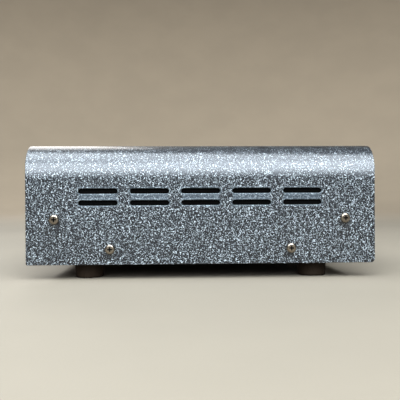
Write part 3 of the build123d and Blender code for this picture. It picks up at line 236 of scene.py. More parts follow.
# ---- finishes
@dataclass(frozen=True)
class VeinedCoat:
    """Dark blue-grey powder coat crossed by fine light veins. It lies smoother and bluer between the vent rows."""

    name: str
    wide: float = 1.9 * MM
    narrow: float = 1.25 * MM
    wide_line: float = 0.060
    narrow_line: float = 0.052
    wander: float = 0.7
    breaks: float = 0.8 * MM
    broken: Pair = (0.40, 0.62)
    least: float = 0.04
    dark: Colour = (0.006, 0.008, 0.012)
    light: Colour = (0.42, 0.46, 0.485)
    tones: Pair = (0.28, 0.98)
    calm_tone: Colour = (0.075, 0.10, 0.125)
    calm: float = 0.45
    calm_half: float = 1.7 * MM
    calm_fade: Pair = (0.6, 1.4)
    calm_reach: float = 77.0 * MM
    calm_end: float = 1.05
    calm_slot: Pair = (0.44, 0.5)
    depth: float = 0.20 * MM
    grain: float = 0.7
    metallic: float = 0.9
    rough: Pair = (0.36, 0.42)
    clear: float = 0.7
    clear_rough: float = 0.24
    clear_ior: float = 1.6
    bend_x: float = 93.0 * MM
    bend_z: float = 60.5 * MM
    agree: Pair = (0.90, 0.95)

    def rounded(self, g: Graph, axes: Any) -> Socket:
        """The smooth outer normal of the folded sheet.

        It points from the nearest point of the bends' axes and the box between them to the surface: along X on the
        sides, along Z on the top and outwards on the bends. The axes lie a little lower than the sheet's own, so the
        bend's highlight starts softly on the flat side. Where the normal disagrees with the mesh, as inside the hood
        and on its edges, the mesh's own stays.

        Args:
            g: The coat's node tree.
            axes: The object coordinates, split by axis.

        Returns:
            The normal.
        """
        over_x = g.maths("MAXIMUM", g.maths("SUBTRACT", g.maths("ABSOLUTE", axes[0]), self.bend_x), 0.0)
        over_x = g.maths("MULTIPLY", over_x, g.maths("SIGN", axes[0]))
        over_z = g.maths("MAXIMUM", g.maths("SUBTRACT", axes[2], self.bend_z), 0.0)
        away = g.add("ShaderNodeCombineXYZ", {"X": over_x, "Z": over_z}).outputs[0]
        smooth = g.add("ShaderNodeVectorMath", {0: away}, operation="NORMALIZE").outputs[0]
        own = g.add("ShaderNodeNewGeometry").outputs["Normal"]
        match = g.add("ShaderNodeVectorMath", {0: smooth, 1: own}, operation="DOT_PRODUCT").outputs["Value"]
        mix = g.add("ShaderNodeMix", {"Factor": g.levels(match, *self.agree)}, data_type="VECTOR")
        for socket, normal in zip((s for s in mix.inputs if s.enabled and s.type == "VECTOR"), (own, smooth)):
            g.tree.links.new(normal, socket)
        return next(s for s in mix.outputs if s.enabled)

    def line(self, g: Graph, size: float, half: float) -> Socket:
        """Thin wandering lines: where a noise of the given size passes through its middle value."""
        away = g.maths("ABSOLUTE", g.maths("SUBTRACT", g.noise(1.0 / size, 2.0, 0.55, self.wander), 0.5))
        return g.levels(away, 0.0, half, 1.0, 0.0)

    def between_slots(self, g: Graph, axes: Any) -> Socket:
        """The share of the calmer coat, on the narrow ribs between the upper and the lower slots.

        It is the product of three smooth steps: from the ribs' middle height, from the middle of the side along Y,
        and from the middle of the nearest slot along Y.

        Args:
            g: The coat's node tree.
            axes: The object coordinates, split by axis.

        Returns:
            The share, from 0 to the calm value.
        """
        high = g.maths("ABSOLUTE", g.maths("SUBTRACT", axes[2], VENTS.middle_z))
        from_z, to_z = (share * self.calm_half for share in self.calm_fade)
        outer = g.levels(g.maths("ABSOLUTE", axes[1]), self.calm_reach, self.calm_end * self.calm_reach, 1.0, 0.0)
        beside = g.maths("PINGPONG", g.maths("SUBTRACT", axes[1], VENTS.middle_y), VENTS.pitch / 2.0)
        from_y, to_y = (share * VENTS.length for share in self.calm_slot)
        calm = g.maths("MULTIPLY", g.levels(high, from_z, to_z, self.calm, 0.0), outer)
        return g.maths("MULTIPLY", calm, g.levels(beside, from_y, to_y, 1.0, 0.0))

    def material(self) -> bpy.types.Material:
        """Two layers of wandering lines cross; a finer noise breaks them up. The same height bends the normal."""
        g = Graph(self.name)
        wide, narrow = self.line(g, self.wide, self.wide_line), self.line(g, self.narrow, self.narrow_line)
        veins = g.maths("MAXIMUM", wide, narrow)
        gaps = g.levels(g.noise(1.0 / self.breaks, 2.0, 0.6), *self.broken, self.least, 1.0)
        veins = g.maths("MULTIPLY", veins, gaps)
        tone = g.levels(veins, *self.tones)
        axes = g.add("ShaderNodeSeparateXYZ", {0: g.place}).outputs
        colour = g.blend(self.between_slots(g, axes), g.blend(tone, self.dark, self.light), self.calm_tone)
        smooth = self.rounded(g, axes)
        height = g.maths("ADD", veins, g.maths("MULTIPLY", g.noise(0.8 / self.breaks), self.grain))
        return g.finish(base_color=colour, metallic=self.metallic, roughness=g.levels(tone, 0.0, 1.0, *self.rough),
                        normal=g.relief(height, self.depth, over=smooth), coat_normal=smooth,
                        coat_weight=self.clear, coat_roughness=self.clear_rough, coat_ior=self.clear_ior)


@dataclass(frozen=True)
class SatinPaint:
    """Plain sprayed paint with a little orange peel."""

    name: str
    colour: Colour
    rough: float = 0.42
    patches: float = 60.0
    tones: Pair = (0.3, 0.7)
    lift: Pair = (1.5, 0.004)
    peel: float = 1100.0
    peel_depth: float = 0.06 * MM

    def material(self) -> bpy.types.Material:
        """Peel is noise about 1 mm across; broad noise varies the tone."""
        g = Graph(self.name)
        tone = g.levels(g.noise(self.patches, detail=3.0), *self.tones)
        lighter = tuple(min(1.0, c * self.lift[0] + self.lift[1]) for c in self.colour)
        return g.finish(base_color=g.blend(tone, self.colour, lighter), roughness=self.rough,
                        normal=g.relief(g.noise(self.peel), self.peel_depth))


@dataclass(frozen=True)
class BrushedMetal:
    """Metal brushed along X."""

    name: str
    colour: Colour
    rough: float = 0.34
    metallic: float = 1.0
    along: float = 25.0
    across: Pair = (2600.0, 5200.0)
    tones: Pair = (0.25, 0.75)
    lift: float = 1.7
    uneven: Pair = (-0.08, 0.12)
    depth: float = 0.012 * MM

    def material(self) -> bpy.types.Material:
        """Brush lines are noise squeezed to hairs across the brushing direction."""
        g = Graph(self.name)
        hair = g.noise(1.0, detail=4.0, rough=0.7, vector=g.stretched(self.along, *self.across))
        brighter = tuple(min(1.0, c * self.lift) for c in self.colour)
        colour = g.blend(g.levels(hair, *self.tones), self.colour, brighter)
        rough = g.levels(hair, 0.2, 0.8, self.rough + self.uneven[0], self.rough + self.uneven[1])
        return g.finish(base_color=colour, metallic=self.metallic, roughness=rough,
                        normal=g.relief(hair, self.depth))


@dataclass(frozen=True)
class Plating:
    """Bright plated metal with light handling marks."""

    name: str
    colour: Colour
    rough: float = 0.2
    marks: float = 700.0
    spread: Pair = (0.4, 0.75)
    marked: float = 0.16
    darkened: float = 0.72
    scratches: Triple = (900.0, 4500.0, 5200.0)
    depth: float = 0.01 * MM

    def material(self) -> bpy.types.Material:
        """Dulled patches raise the roughness; fine scratches come from stretched noise."""
        g = Graph(self.name)
        dull = g.levels(g.noise(self.marks, detail=3.0, rough=0.6), *self.spread)
        darker = tuple(c * self.darkened for c in self.colour)
        scratch = g.noise(1.0, vector=g.stretched(*self.scratches))
        rough = g.levels(dull, 0.0, 1.0, self.rough, self.rough + self.marked)
        return g.finish(base_color=g.blend(dull, self.colour, darker), metallic=1.0, roughness=rough,
                        normal=g.relief(scratch, self.depth))


@dataclass(frozen=True)
class Moulding:
    """Moulded plastic or rubber with a fine grain."""

    name: str
    colour: Colour
    rough: float = 0.45
    grain: float = 0.35 * MM
    depth: float = 0.03 * MM
    dust: Colour = (0.2, 0.19, 0.18)
    dusty: float = 0.08
    shine: float = 0.5
    film: float = 90.0
    filmed: Pair = (0.45, 0.8)
    wear: float = 220.0
    worn: Pair = (0.3, 0.7)
    uneven: Pair = (-0.06, 0.08)

    def material(self) -> bpy.types.Material:
        """Grain is cell noise; a thin film of dust lies in broad patches."""
        g = Graph(self.name)
        grain = g.cells(1.0 / self.grain, Cells.ROUND)
        film = g.levels(g.noise(self.film, detail=4.0, rough=0.65), *self.filmed, 0.0, self.dusty)
        rough = g.levels(g.noise(self.wear), *self.worn, self.rough + self.uneven[0], self.rough + self.uneven[1])
        return g.finish(base_color=g.blend(film, self.colour, self.dust), roughness=rough, specular=self.shine,
                        normal=g.relief(grain, self.depth))


@dataclass(frozen=True)
class Laminate:
    """Circuit board: green mask over copper traces."""

    name: str
    mask: Colour = (0.012, 0.10, 0.035)
    trace: Colour = (0.03, 0.19, 0.07)
    tracks: float = 170.0
    uneven: float = 0.7
    bare: Pair = (0.30, 0.36)
    rough: float = 0.34
    copper: float = 0.05 * MM

    def material(self) -> bpy.types.Material:
        """Traces follow the edges of square cells."""
        g = Graph(self.name)
        track = g.levels(g.cells(self.tracks, Cells.SQUARE, self.uneven), *self.bare)
        return g.finish(base_color=g.blend(track, self.mask, self.trace), roughness=self.rough,
                        normal=g.relief(track, self.copper))


@dataclass(frozen=True)
class Winding:
    """Varnished copper wire laid in turns."""

    name: str
    wire: float = 0.7 * MM
    turn_depth: float = 0.2 * MM
    wave: float = 0.31
    sway: float = 0.4
    varnish: float = 300.0
    tones: Pair = (0.3, 0.7)
    deep: Colour = (0.32, 0.11, 0.03)
    bright: Colour = (0.55, 0.23, 0.07)

    def material(self) -> bpy.types.Material:
        """Turns are a sine wave along Z, whose length at scale 1 is the field wave; noise varies the varnish."""
        g = Graph(self.name)
        inputs = {"Vector": g.place, "Scale": self.wave / self.wire, "Distortion": self.sway}
        wave = g.add("ShaderNodeTexWave", inputs, bands_direction="Z").outputs["Fac"]
        tone = g.levels(g.noise(self.varnish, detail=3.0), *self.tones)
        return g.finish(base_color=g.blend(tone, self.deep, self.bright), metallic=0.6, roughness=0.3,
                        normal=g.relief(wave, self.turn_depth))


@dataclass(frozen=True)
class Jewel:
    """Clear coloured plastic or glass."""

    name: str
    colour: Colour
    glow: float = 0.0
    flow: float = 500.0
    flow_depth: float = 0.02 * MM
    tint: float = 260.0
    tints: Pair = (0.2, 0.8)
    deeper: float = 0.7
    rough: float = 0.08
    clear: float = 0.75
    index: float = 1.5

    def material(self) -> bpy.types.Material:
        """Mostly clear, with faint flow marks and a small glow for a lamp."""
        g = Graph(self.name)
        deep = tuple(c * self.deeper for c in self.colour)
        return g.finish(base_color=g.blend(g.levels(g.noise(self.tint), *self.tints), deep, self.colour),
                        roughness=self.rough, transmission_weight=self.clear, ior=self.index,
                        normal=g.relief(g.noise(self.flow), self.flow_depth), emission_color=self.colour,
                        emission_strength=self.glow)


# ---- mesh tools
def new_piece(name: str, points: np.ndarray, faces: Sequence[Sequence[int]], material: bpy.types.Material,
              smooth: bool = False) -> bpy.types.Object:
    """Makes a mesh object at the origin, with its place in its mesh.

    Args:
        name: The piece's name.
        points: An (n, 3) array in metres.
        faces: Corner indices of each face, anticlockwise from outside.
        material: The finish of the whole piece.
        smooth: True to shade across the faces.

    Returns:
        The new object, linked to the scene.
    """
    mesh = bpy.data.meshes.new(name)
    mesh.from_pydata(np.asarray(points, float).tolist(), [], [list(map(int, face)) for face in faces])
    mesh.polygons.foreach_set("use_smooth", np.full(len(mesh.polygons), smooth))
    mesh.materials.append(material)
    mesh.update()
    piece = bpy.data.objects.new(name, mesh)
    bpy.context.scene.collection.objects.link(piece)
    return piece


def grid_faces(rows: int, columns: int) -> np.ndarray:
    """Quads of a grid that closes on itself along its columns: corner (r, c) is point r * columns + c.

    Args:
        rows: Rings of points.
        columns: Points in each ring.

    Returns:
        An (n, 4) array of corner indices.
    """
    r, c = np.meshgrid(np.arange(rows - 1), np.arange(columns), indexing="ij")
    after = (c + 1) % columns
    quads = np.stack([r * columns + c, r * columns + after, (r + 1) * columns + after, (r + 1) * columns + c], -1)
    return quads.reshape(-1, 4)


def ring_faces(rows: int, columns: int) -> np.ndarray:
    """The same quads with the last row joined to the first, so that the grid closes both ways."""
    return grid_faces(rows + 1, columns) % (rows * columns)


def pad(top: np.ndarray, under: np.ndarray) -> Mesh:
    """A closed pad between two grids of points, walled along their rims.

    Args:
        top: A (rows, columns, 3) array, whose rows and columns turn anticlockwise as seen from outside.
        under: The points behind them.

    Returns:
        Points and faces of the pad.
    """
    rows, n = top.shape[:2]
    size = rows * n
    r, c = np.meshgrid(np.arange(rows - 1), np.arange(n - 1), indexing="ij")
    quads = np.stack([r * n + c, r * n + c + 1, (r + 1) * n + c + 1, (r + 1) * n + c], -1).reshape(-1, 4)
    rim = np.concatenate([np.arange(n), np.arange(1, rows) * n + n - 1,
                          (rows - 1) * n + np.arange(n - 2, -1, -1), np.arange(rows - 2, 0, -1) * n])
    after = np.roll(rim, -1)
    walls = np.stack([after, rim, rim + size, after + size], -1)
    points = np.concatenate([top.reshape(-1, 3), under.reshape(-1, 3)])
    return points, np.concatenate([quads, quads[:, ::-1] + size, walls])


def blocks(corners: np.ndarray) -> Mesh:
    """Closed six-sided blocks.

    Args:
        corners: An (n, 8, 3) array: four corners of the near face anticlockwise, then the four behind them.

    Returns:
        Points and faces of all blocks together.
    """
    sides = np.array([[0, 1, 2, 3], [7, 6, 5, 4], [0, 4, 5, 1], [1, 5, 6, 2], [2, 6, 7, 3], [3, 7, 4, 0]])
    faces = (np.arange(len(corners))[:, None, None] * 8 + sides[None]).reshape(-1, 4)
    return corners.reshape(-1, 3), faces


def revolved(profile: np.ndarray, steps: int) -> Mesh:
    """A surface of revolution about Z.

    Args:
        profile: An (n, 2) array of radius and height, from the lower pole to the upper.
        steps: Points round each ring.

    Returns:
        Points at (radius cos a, radius sin a, height), and the quads between the rings.
    """
    angle = np.linspace(0.0, 2.0 * math.pi, steps, endpoint=False)
    radius, height = profile[:, :1], profile[:, 1:]
    ring = np.stack([radius * np.cos(angle), radius * np.sin(angle), height + 0.0 * angle], -1)
    return ring.reshape(-1, 3), grid_faces(len(profile), steps)


def joined(parts: Iterable[Mesh]) -> Mesh:
    """Puts several meshes together, with each one's face indices moved past the points before it.

    Args:
        parts: Points and faces of each mesh.

    Returns:
        Points and faces of them all.
    """
    points: list[np.ndarray] = []
    faces: list[list[int]] = []
    start = 0
    for some_points, some_faces in parts:
        points.append(some_points)
        faces += [[int(corner) + start for corner in face] for face in some_faces]
        start += len(some_points)
    return np.concatenate(points), faces


def middle(node: str) -> np.ndarray:
    """The middle of a CAD node's box."""
    low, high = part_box(node)
    return (np.array(low) + np.array(high)) / 2.0


# ---- printing
@dataclass
class Scale:
    """The printed dial round one knob: eleven marks over 300 degrees, numbered from 0 to 10."""

    knob: str
    face: float
    inner: float = 10.3 * MM
    short: float = 1.2 * MM
    long: float = 1.9 * MM
    width: float = 0.32 * MM
    ink: float = 0.05 * MM
    numbers: float = 13.1 * MM
    turn: float = 150.0
    count: int = 11
    long_every: int = 5

    def angles(self) -> np.ndarray:
        """Clockwise angles from straight up, seen from the front."""
        return np.radians(np.linspace(-self.turn, self.turn, self.count))

    def marks(self) -> np.ndarray:
        """Block corners: each mark runs outwards along its angle, and every fifth one is longer."""
        x, _, z = middle(f"{self.knob}_knob")
        a = self.angles()
        end = self.inner + np.where(np.arange(self.count) % self.long_every == 0, self.long, self.short)
        out = np.stack([np.sin(a), np.cos(a)], -1)
        across = np.stack([np.cos(a), -np.sin(a)], -1) * self.width / 2.0
        near, far = out * self.inner, out * end[:, None]
        flat = np.stack([near - across, near + across, far + across, far - across], 1)
        plane = np.empty((self.count, 4, 3))
        plane[..., 0], plane[..., 2] = x + flat[..., 0], z + flat[..., 1]
        plane[..., 1] = self.face - self.ink
        behind = plane.copy()
        behind[..., 1] = self.face
        return np.concatenate([plane, behind], 1)

    def number_places(self) -> np.ndarray:
        """Where each number's middle goes, as (x, y, z)."""
        x, _, z = middle(f"{self.knob}_knob")
        a = self.angles()
        return np.stack([x + self.numbers * np.sin(a), 0.0 * a + self.face, z + self.numbers * np.cos(a)], -1)

    def texts(self) -> list[str]:
        """The number at each mark."""
        return [str(number) for number in range(self.count)]


@dataclass
class Figures:
    """Numerals as thin solid ink, from the plain built-in font."""

    size: float
    ink: float = 0.04 * MM
    curve_steps: int = 3

    def shape(self, text: str) -> Mesh:
        """The mesh of one string, centred on the origin in X and Y.

        Args:
            text: Digits only.

        Returns:
            Its points, and its faces as corner indices.
        """
        curve = bpy.data.curves.new("figure", "FONT")
        curve.body = text
        curve.size = self.size
        curve.align_x = "CENTER"
        curve.extrude = self.ink
        curve.resolution_u = self.curve_steps
        holder = bpy.data.objects.new("figure", curve)
        bpy.context.scene.collection.objects.link(holder)
        bpy.context.view_layer.update()
        mesh = bpy.data.meshes.new_from_object(holder)
        points = np.empty(len(mesh.vertices) * 3)
        mesh.vertices.foreach_get("co", points)
        points = points.reshape(-1, 3)
        points[:, :2] -= (points[:, :2].min(0) + points[:, :2].max(0)) / 2.0
        faces = [list(p.vertices) for p in mesh.polygons]
        bpy.data.objects.remove(holder)
        bpy.data.meshes.remove(mesh)
        bpy.data.curves.remove(curve)
        return points, faces

    def on_front(self, places: np.ndarray, texts: Sequence[str]) -> Mesh:
        """Copies of the strings on a panel that faces -Y.

        Args:
            places: The middle of each string, as (x, y, z).
            texts: The strings.

        Returns:
            Points and faces of all strings together. A letter's (u, v, w) goes to (x + u, y - w, z + v).
        """
        shapes = {text: self.shape(text) for text in sorted(set(texts))}
        parts = []
        for place, text in zip(places, texts):
            points, faces = shapes[text]
            parts.append((np.stack([points[:, 0], -points[:, 2], points[:, 1]], -1) + place, faces))
        return joined(parts)


@dataclass
class Outline:
    """A thin printed frame with rounded corners round a group of sockets."""

    low: Pair
    high: Pair
    y: float
    facing: int
    corner: float = 2.2 * MM
    line: float = 0.3 * MM
    ink: float = 0.05 * MM
    corner_steps: int = 6

    def loop(self, inset: float) -> np.ndarray:
        """Corner arcs of a rounded rectangle, joined by straight runs.

        Args:
            inset: How far it lies inside the frame's outer edge.

        Returns:
            Its points as (x, z).
        """
        radius = self.corner - inset
        a = np.linspace(0.0, math.pi / 2, self.corner_steps)
        turns = np.arange(4)[:, None] * math.pi / 2 + a[None]
        centre_x = np.array([self.high[0], self.low[0], self.low[0], self.high[0]])
        centre_z = np.array([self.high[1], self.high[1], self.low[1], self.low[1]])
        inward_x = np.array([-1, 1, 1, -1]) * self.corner
        inward_z = np.array([-1, -1, 1, 1]) * self.corner
        x = (centre_x + inward_x)[:, None] + radius * np.cos(turns)
        z = (centre_z + inward_z)[:, None] + radius * np.sin(turns)
        return np.stack([x.ravel(), z.ravel()], -1)

    def solid(self) -> Mesh:
        """Four loops, outer and inner, on the panel and one ink layer above it, joined to a closed ring."""
        outer, inner = self.loop(0.0), self.loop(self.line)
        top = self.y + self.facing * self.ink
        rings = [np.stack([flat[:, 0], np.full(len(flat), y), flat[:, 1]], -1)
                 for flat, y in ((outer, self.y), (outer, top), (inner, top), (inner, self.y))]
        faces = ring_faces(len(rings), len(outer))
        return np.concatenate(rings), faces[:, ::-1] if self.facing > 0 else faces


# ---- sub-assemblies
@dataclass
class Cabinet:
    """The hood, its pan, panels, screws, feet and everything inside them."""

    finishes: dict[str, bpy.types.Material]

    def dress(self) -> None:
        """Gives each CAD node the finish that its record slot names."""
        for part in frame["record"]["subparts"]:
            slots = frame["nodes"][part["node"]].data.materials
            slots.clear()
            slots.append(self.finishes[part["material_slot"]])
        log.info("cabinet: %d finishes on %d parts", len(self.finishes), len(frame["nodes"]))


@dataclass
class SlotLips:
    """The rolled lip that the coat leaves round every vent slot.

    The section's points are (away from the slot's edge, above the sheet), in millimetres.
    """

    coat: bpy.types.Material
    arc_steps: int = 14
    section: tuple[Pair, ...] = (
        (1.00, -0.02), (0.70, 0.015), (0.42, 0.03), (0.16, 0.005), (-0.07, -0.12), (-0.20, -0.40), (-0.23, -0.90),
        (0.10, -0.95), (0.60, -0.30))

    def path(self) -> tuple[np.ndarray, np.ndarray]:
        """A slot's outline as (y, z) points, and the outward direction at each.

        Two half circles of half the slot's width, whose centres are a straight run apart.
        """
        radius, half_run = VENTS.width / 2.0, (VENTS.length - VENTS.width) / 2.0
        a = np.linspace(-math.pi / 2, math.pi / 2, self.arc_steps)
        a = np.concatenate([a, a + math.pi])
        side = np.repeat([1.0, -1.0], self.arc_steps)
        out = np.stack([np.cos(a), np.sin(a)], -1)
        return out * radius + np.stack([side * half_run, 0.0 * side], -1), out

    def build(self) -> None:
        """The section is carried along the outline: point = outline + offset * outward, at the section's height."""
        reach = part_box("top_cover")[1][0]
        outline, out = self.path()
        section = np.array(self.section) * MM
        flat = outline[:, None] + section[None, :, :1] * out[:, None]
        column, row = np.meshgrid(np.arange(VENTS.columns), np.arange(VENTS.rows), indexing="ij")
        y = VENTS.middle_y + (column.ravel() - (VENTS.columns - 1) / 2.0) * VENTS.pitch
        z = VENTS.middle_z + (row.ravel() - (VENTS.rows - 1) / 2.0) * VENTS.row_pitch
        yz = flat[None] + np.stack([y, z], -1)[:, None, None]
        count, steps, size = yz.shape[:3]
        ring = ring_faces(steps, size)[:, [0, 3, 2, 1]]
        faces = (ring[None] + np.arange(count)[:, None, None] * steps * size).reshape(-1, 4)
        for side, name in ((-1, "left_slot_lips"), (1, "right_slot_lips")):
            x = np.broadcast_to(side * (reach + section[:, 1]), yz.shape[:3])
            points = np.concatenate([x[..., None], yz], -1).reshape(-1, 3)
            piece = new_piece(name, points, faces if side > 0 else faces[:, ::-1], self.coat, smooth=True)
            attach(piece, "case")
            log.info("%s: %d faces", name, len(faces))


@dataclass
class RecessGrime:
    """Painted shade at the bottom of the cross recesses in the side screws: near-black bars that stand in for the
    shade deep in the recesses.

    The screws' spots are (y, z), in millimetres.
    """

    grime: bpy.types.Material
    spots: tuple[Pair, ...] = ((-86.55, 36.0), (87.95, 36.0), (-53.65, 18.1), (55.05, 18.1))
    length: float = 2.9 * MM
    width: float = 0.72 * MM
    below: float = 0.25 * MM
    thick: float = 0.9 * MM

    def build(self) -> None:
        """Two crossing bars in each recess, a little under the screw's face."""
        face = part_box("cover_screws")[1][0]
        y, z = (np.array(self.spots) * MM).T
        long, wide = self.length / 2.0, self.width / 2.0
        corners = []
        for side in (-1, 1):
            for half_y, half_z in ((long, wide), (wide, long)):
                square = np.stack([y[:, None] + half_y * np.array([-1, 1, 1, -1]) * -side,
                                   z[:, None] + half_z * np.array([-1, -1, 1, 1])], -1)
                near = np.concatenate([np.full((len(y), 4, 1), side * (face - self.below)), square], -1)
                far = near.copy()
                far[..., 0] = side * (face - self.below - self.thick)
                corners.append(np.concatenate([near, far], 1))
        points, faces = blocks(np.concatenate(corners))
        piece = new_piece("recess_grime", points, faces[:, ::-1], self.grime)
        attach(piece, "case")
        log.info("recess painted shade: %d faces", len(faces))


@dataclass
class DustFilter:
    """Painted shade behind the left-hand slots: a strip of black open foam that stands in for the dark inside of the
    case, so that no light shows through the slots.
    """

    foam: bpy.types.Material
    inside: float = 107.7 * MM
    thick: float = 2.0 * MM
    reach: float = 78.4 * MM
    low: float = 42.4 * MM
    high: float = 56.0 * MM
    pit: float = 0.35 * MM
    waves: Pair = (4100.0, 3700.0)
    swings: Pair = (2300.0, 1900.0)
    swing: float = 2.0
    rim: Pair = (40.0, 6.0)
    steps: tuple[int, int] = (260, 28)

    def build(self) -> None:
        """A flat pad whose outer face is pitted.

        The pits are the product of a wave along Y and one along Z, each swung to and fro by a wave along the other
        axis. They fade to nothing towards the rim.
        """
        u, v = np.meshgrid(np.linspace(-1, 1, self.steps[0]), np.linspace(-1, 1, self.steps[1]), indexing="ij")
        y, z = u * self.reach, (self.low + self.high) / 2.0 + v * (self.high - self.low) / 2.0
        rim = np.clip((1 - u ** 2) * self.rim[0], 0.0, 1.0) * np.clip((1 - v ** 2) * self.rim[1], 0.0, 1.0)
        waves = (np.sin(y * self.waves[0] + self.swing * np.sin(z * self.swings[0]))
                 * np.sin(z * self.waves[1] + self.swing * np.sin(y * self.swings[1])))
        top = np.stack([-self.inside + rim * self.pit * (0.5 + 0.5 * waves), y, z], -1)
        under = top.copy()
        under[..., 0] = -self.inside + self.thick
        points, faces = pad(top, under)
        piece = new_piece("dust_filter", points, faces, self.foam)
        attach(piece, "case")
        log.info("slot shade sheet: %d faces", len(faces))


@dataclass
class FrontPrint:
    """White ink on the faceplate: six dial scales and the frames round the sockets."""

    ink: bpy.types.Material
    knobs: tuple[str, ...] = ("gain", "bass", "middle", "treble", "reverb", "master")
    number_size: float = 2.1 * MM
    frame_half: float = 11.8 * MM
    frame_drop: float = 11.4 * MM
    frame_rise: float = 10.6 * MM
    framed: tuple[str, ...] = ("input_jack", "footswitch_jack", "phones_jack")

    def build(self) -> None:
        """All scales are one mesh, all numbers another, and the frames a third."""
        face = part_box("faceplate")[0][1]
        scales = [Scale(knob, face) for knob in self.knobs]
        points, faces = blocks(np.concatenate([scale.marks() for scale in scales]))
        self.place("dial_marks", points, faces)
        places = np.concatenate([scale.number_places() for scale in scales])
        texts = [text for scale in scales for text in scale.texts()]
        self.place("dial_numbers", *Figures(self.number_size).on_front(places, texts))
        frames = []
        for node in self.framed:
            x, _, z = middle(node)
            low, high = (x - self.frame_half, z - self.frame_drop), (x + self.frame_half, z + self.frame_rise)
            frames.append(Outline(low, high, face, -1).solid())
        self.place("socket_frames", *joined(frames))

    def place(self, name: str, points: np.ndarray, faces: Any) -> None:
        """Adds one printed layer to the case.

        Args:
            name: The layer's name.
            points: Its points.
            faces: Its faces as corner indices.
        """
        layer = new_piece(name, points, faces, self.ink)
        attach(layer, "case")
        log.info("%s: %d faces", name, len(faces))


@dataclass
class Pointer:
    """White paint that fills the groove on one knob."""

    knob: str
    paint: bpy.types.Material
    inner: float = 3.9 * MM
    outer: float = 8.9 * MM
    width: float = 0.86 * MM
    sunk: float = 0.22 * MM
    deep: float = 0.5 * MM
    sag: float = 0.12 * MM
    rows: int = 12
    columns: int = 8

    def build(self) -> None:
        """A strip whose cross-section is a shallow valley, as paint dries in a groove.

        For u from 0 to 1 along and v from 0 to 1 across, the height below the knob's face is the sunk depth plus a
        little more where v is in the middle: sunk + sag * sin(pi v) * sin(pi u) ** 0.5.
        """
        low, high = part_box(f"{self.knob}_knob")
        x, z, face = (low[0] + high[0]) / 2.0, (low[2] + high[2]) / 2.0, low[1]
        u, v = np.meshgrid(np.linspace(0, 1, self.rows), np.linspace(0, 1, self.columns), indexing="ij")
        sag = self.sag * np.sin(math.pi * v) * np.sqrt(np.clip(np.sin(math.pi * u), 0.0, 1.0))
        top = np.stack([x + (v - 0.5) * self.width, face + self.sunk + sag,
                        z + self.inner + u * (self.outer - self.inner)], -1)
        under = top.copy()
        under[..., 1] = face + self.deep
        piece = new_piece(f"{self.knob}_pointer", *pad(top, under), self.paint)
        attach(piece, f"{self.knob}_control")
        log.info("%s pointer", self.knob)


@dataclass
class LampJewel:
    """The faceted lens of the power lamp."""

    jewel: bpy.types.Material
    facets: int = 12
    profile: tuple[Triple, ...] = (
        (0.02, 0.0, 0.0), (1.0, 0.0, 0.0), (1.0, 0.72, 0.0), (0.93, 0.82, 0.5), (0.70, 0.92, 1.0),
        (0.38, 0.98, 1.5), (0.02, 1.0, 1.5))

    def build(self) -> None:
        """Rings of points about -Y, each half a step round from the last, so that flat triangles meet between them.

        The ring radii shrink towards the crown as a cut stone's do, and the foot is a plain closed cylinder. Each
        ring of the profile is (share of the radius, share of the length, facets turned).
        """
        low, high = (np.array(corner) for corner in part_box("lamp_lens"))
        x, z = (low[0] + high[0]) / 2.0, (low[2] + high[2]) / 2.0
        radius, length = (high[0] - low[0]) / 2.0, high[1] - low[1]
        share, rise, turn = np.array(self.profile).T[..., None]
        a = (np.arange(self.facets)[None] + turn) * 2.0 * math.pi / self.facets
        points = np.stack([x + share * radius * np.cos(a), high[1] - rise * length + 0.0 * a,
                           z + share * radius * np.sin(a)], -1)
        quads = grid_faces(len(share), self.facets)
        flat = np.concatenate([quads[:, [0, 1, 2]], quads[:, [0, 2, 3]]])
        last = (len(share) - 1) * self.facets
        caps = [list(range(self.facets))[::-1], [last + i for i in range(self.facets)]]
        piece = new_piece("lamp_jewel", points.reshape(-1, 3), flat.tolist() + caps, self.jewel)
        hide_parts("lamp_lens")
        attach(piece, "case")
        log.info("lamp jewel: %d facets round", self.facets)


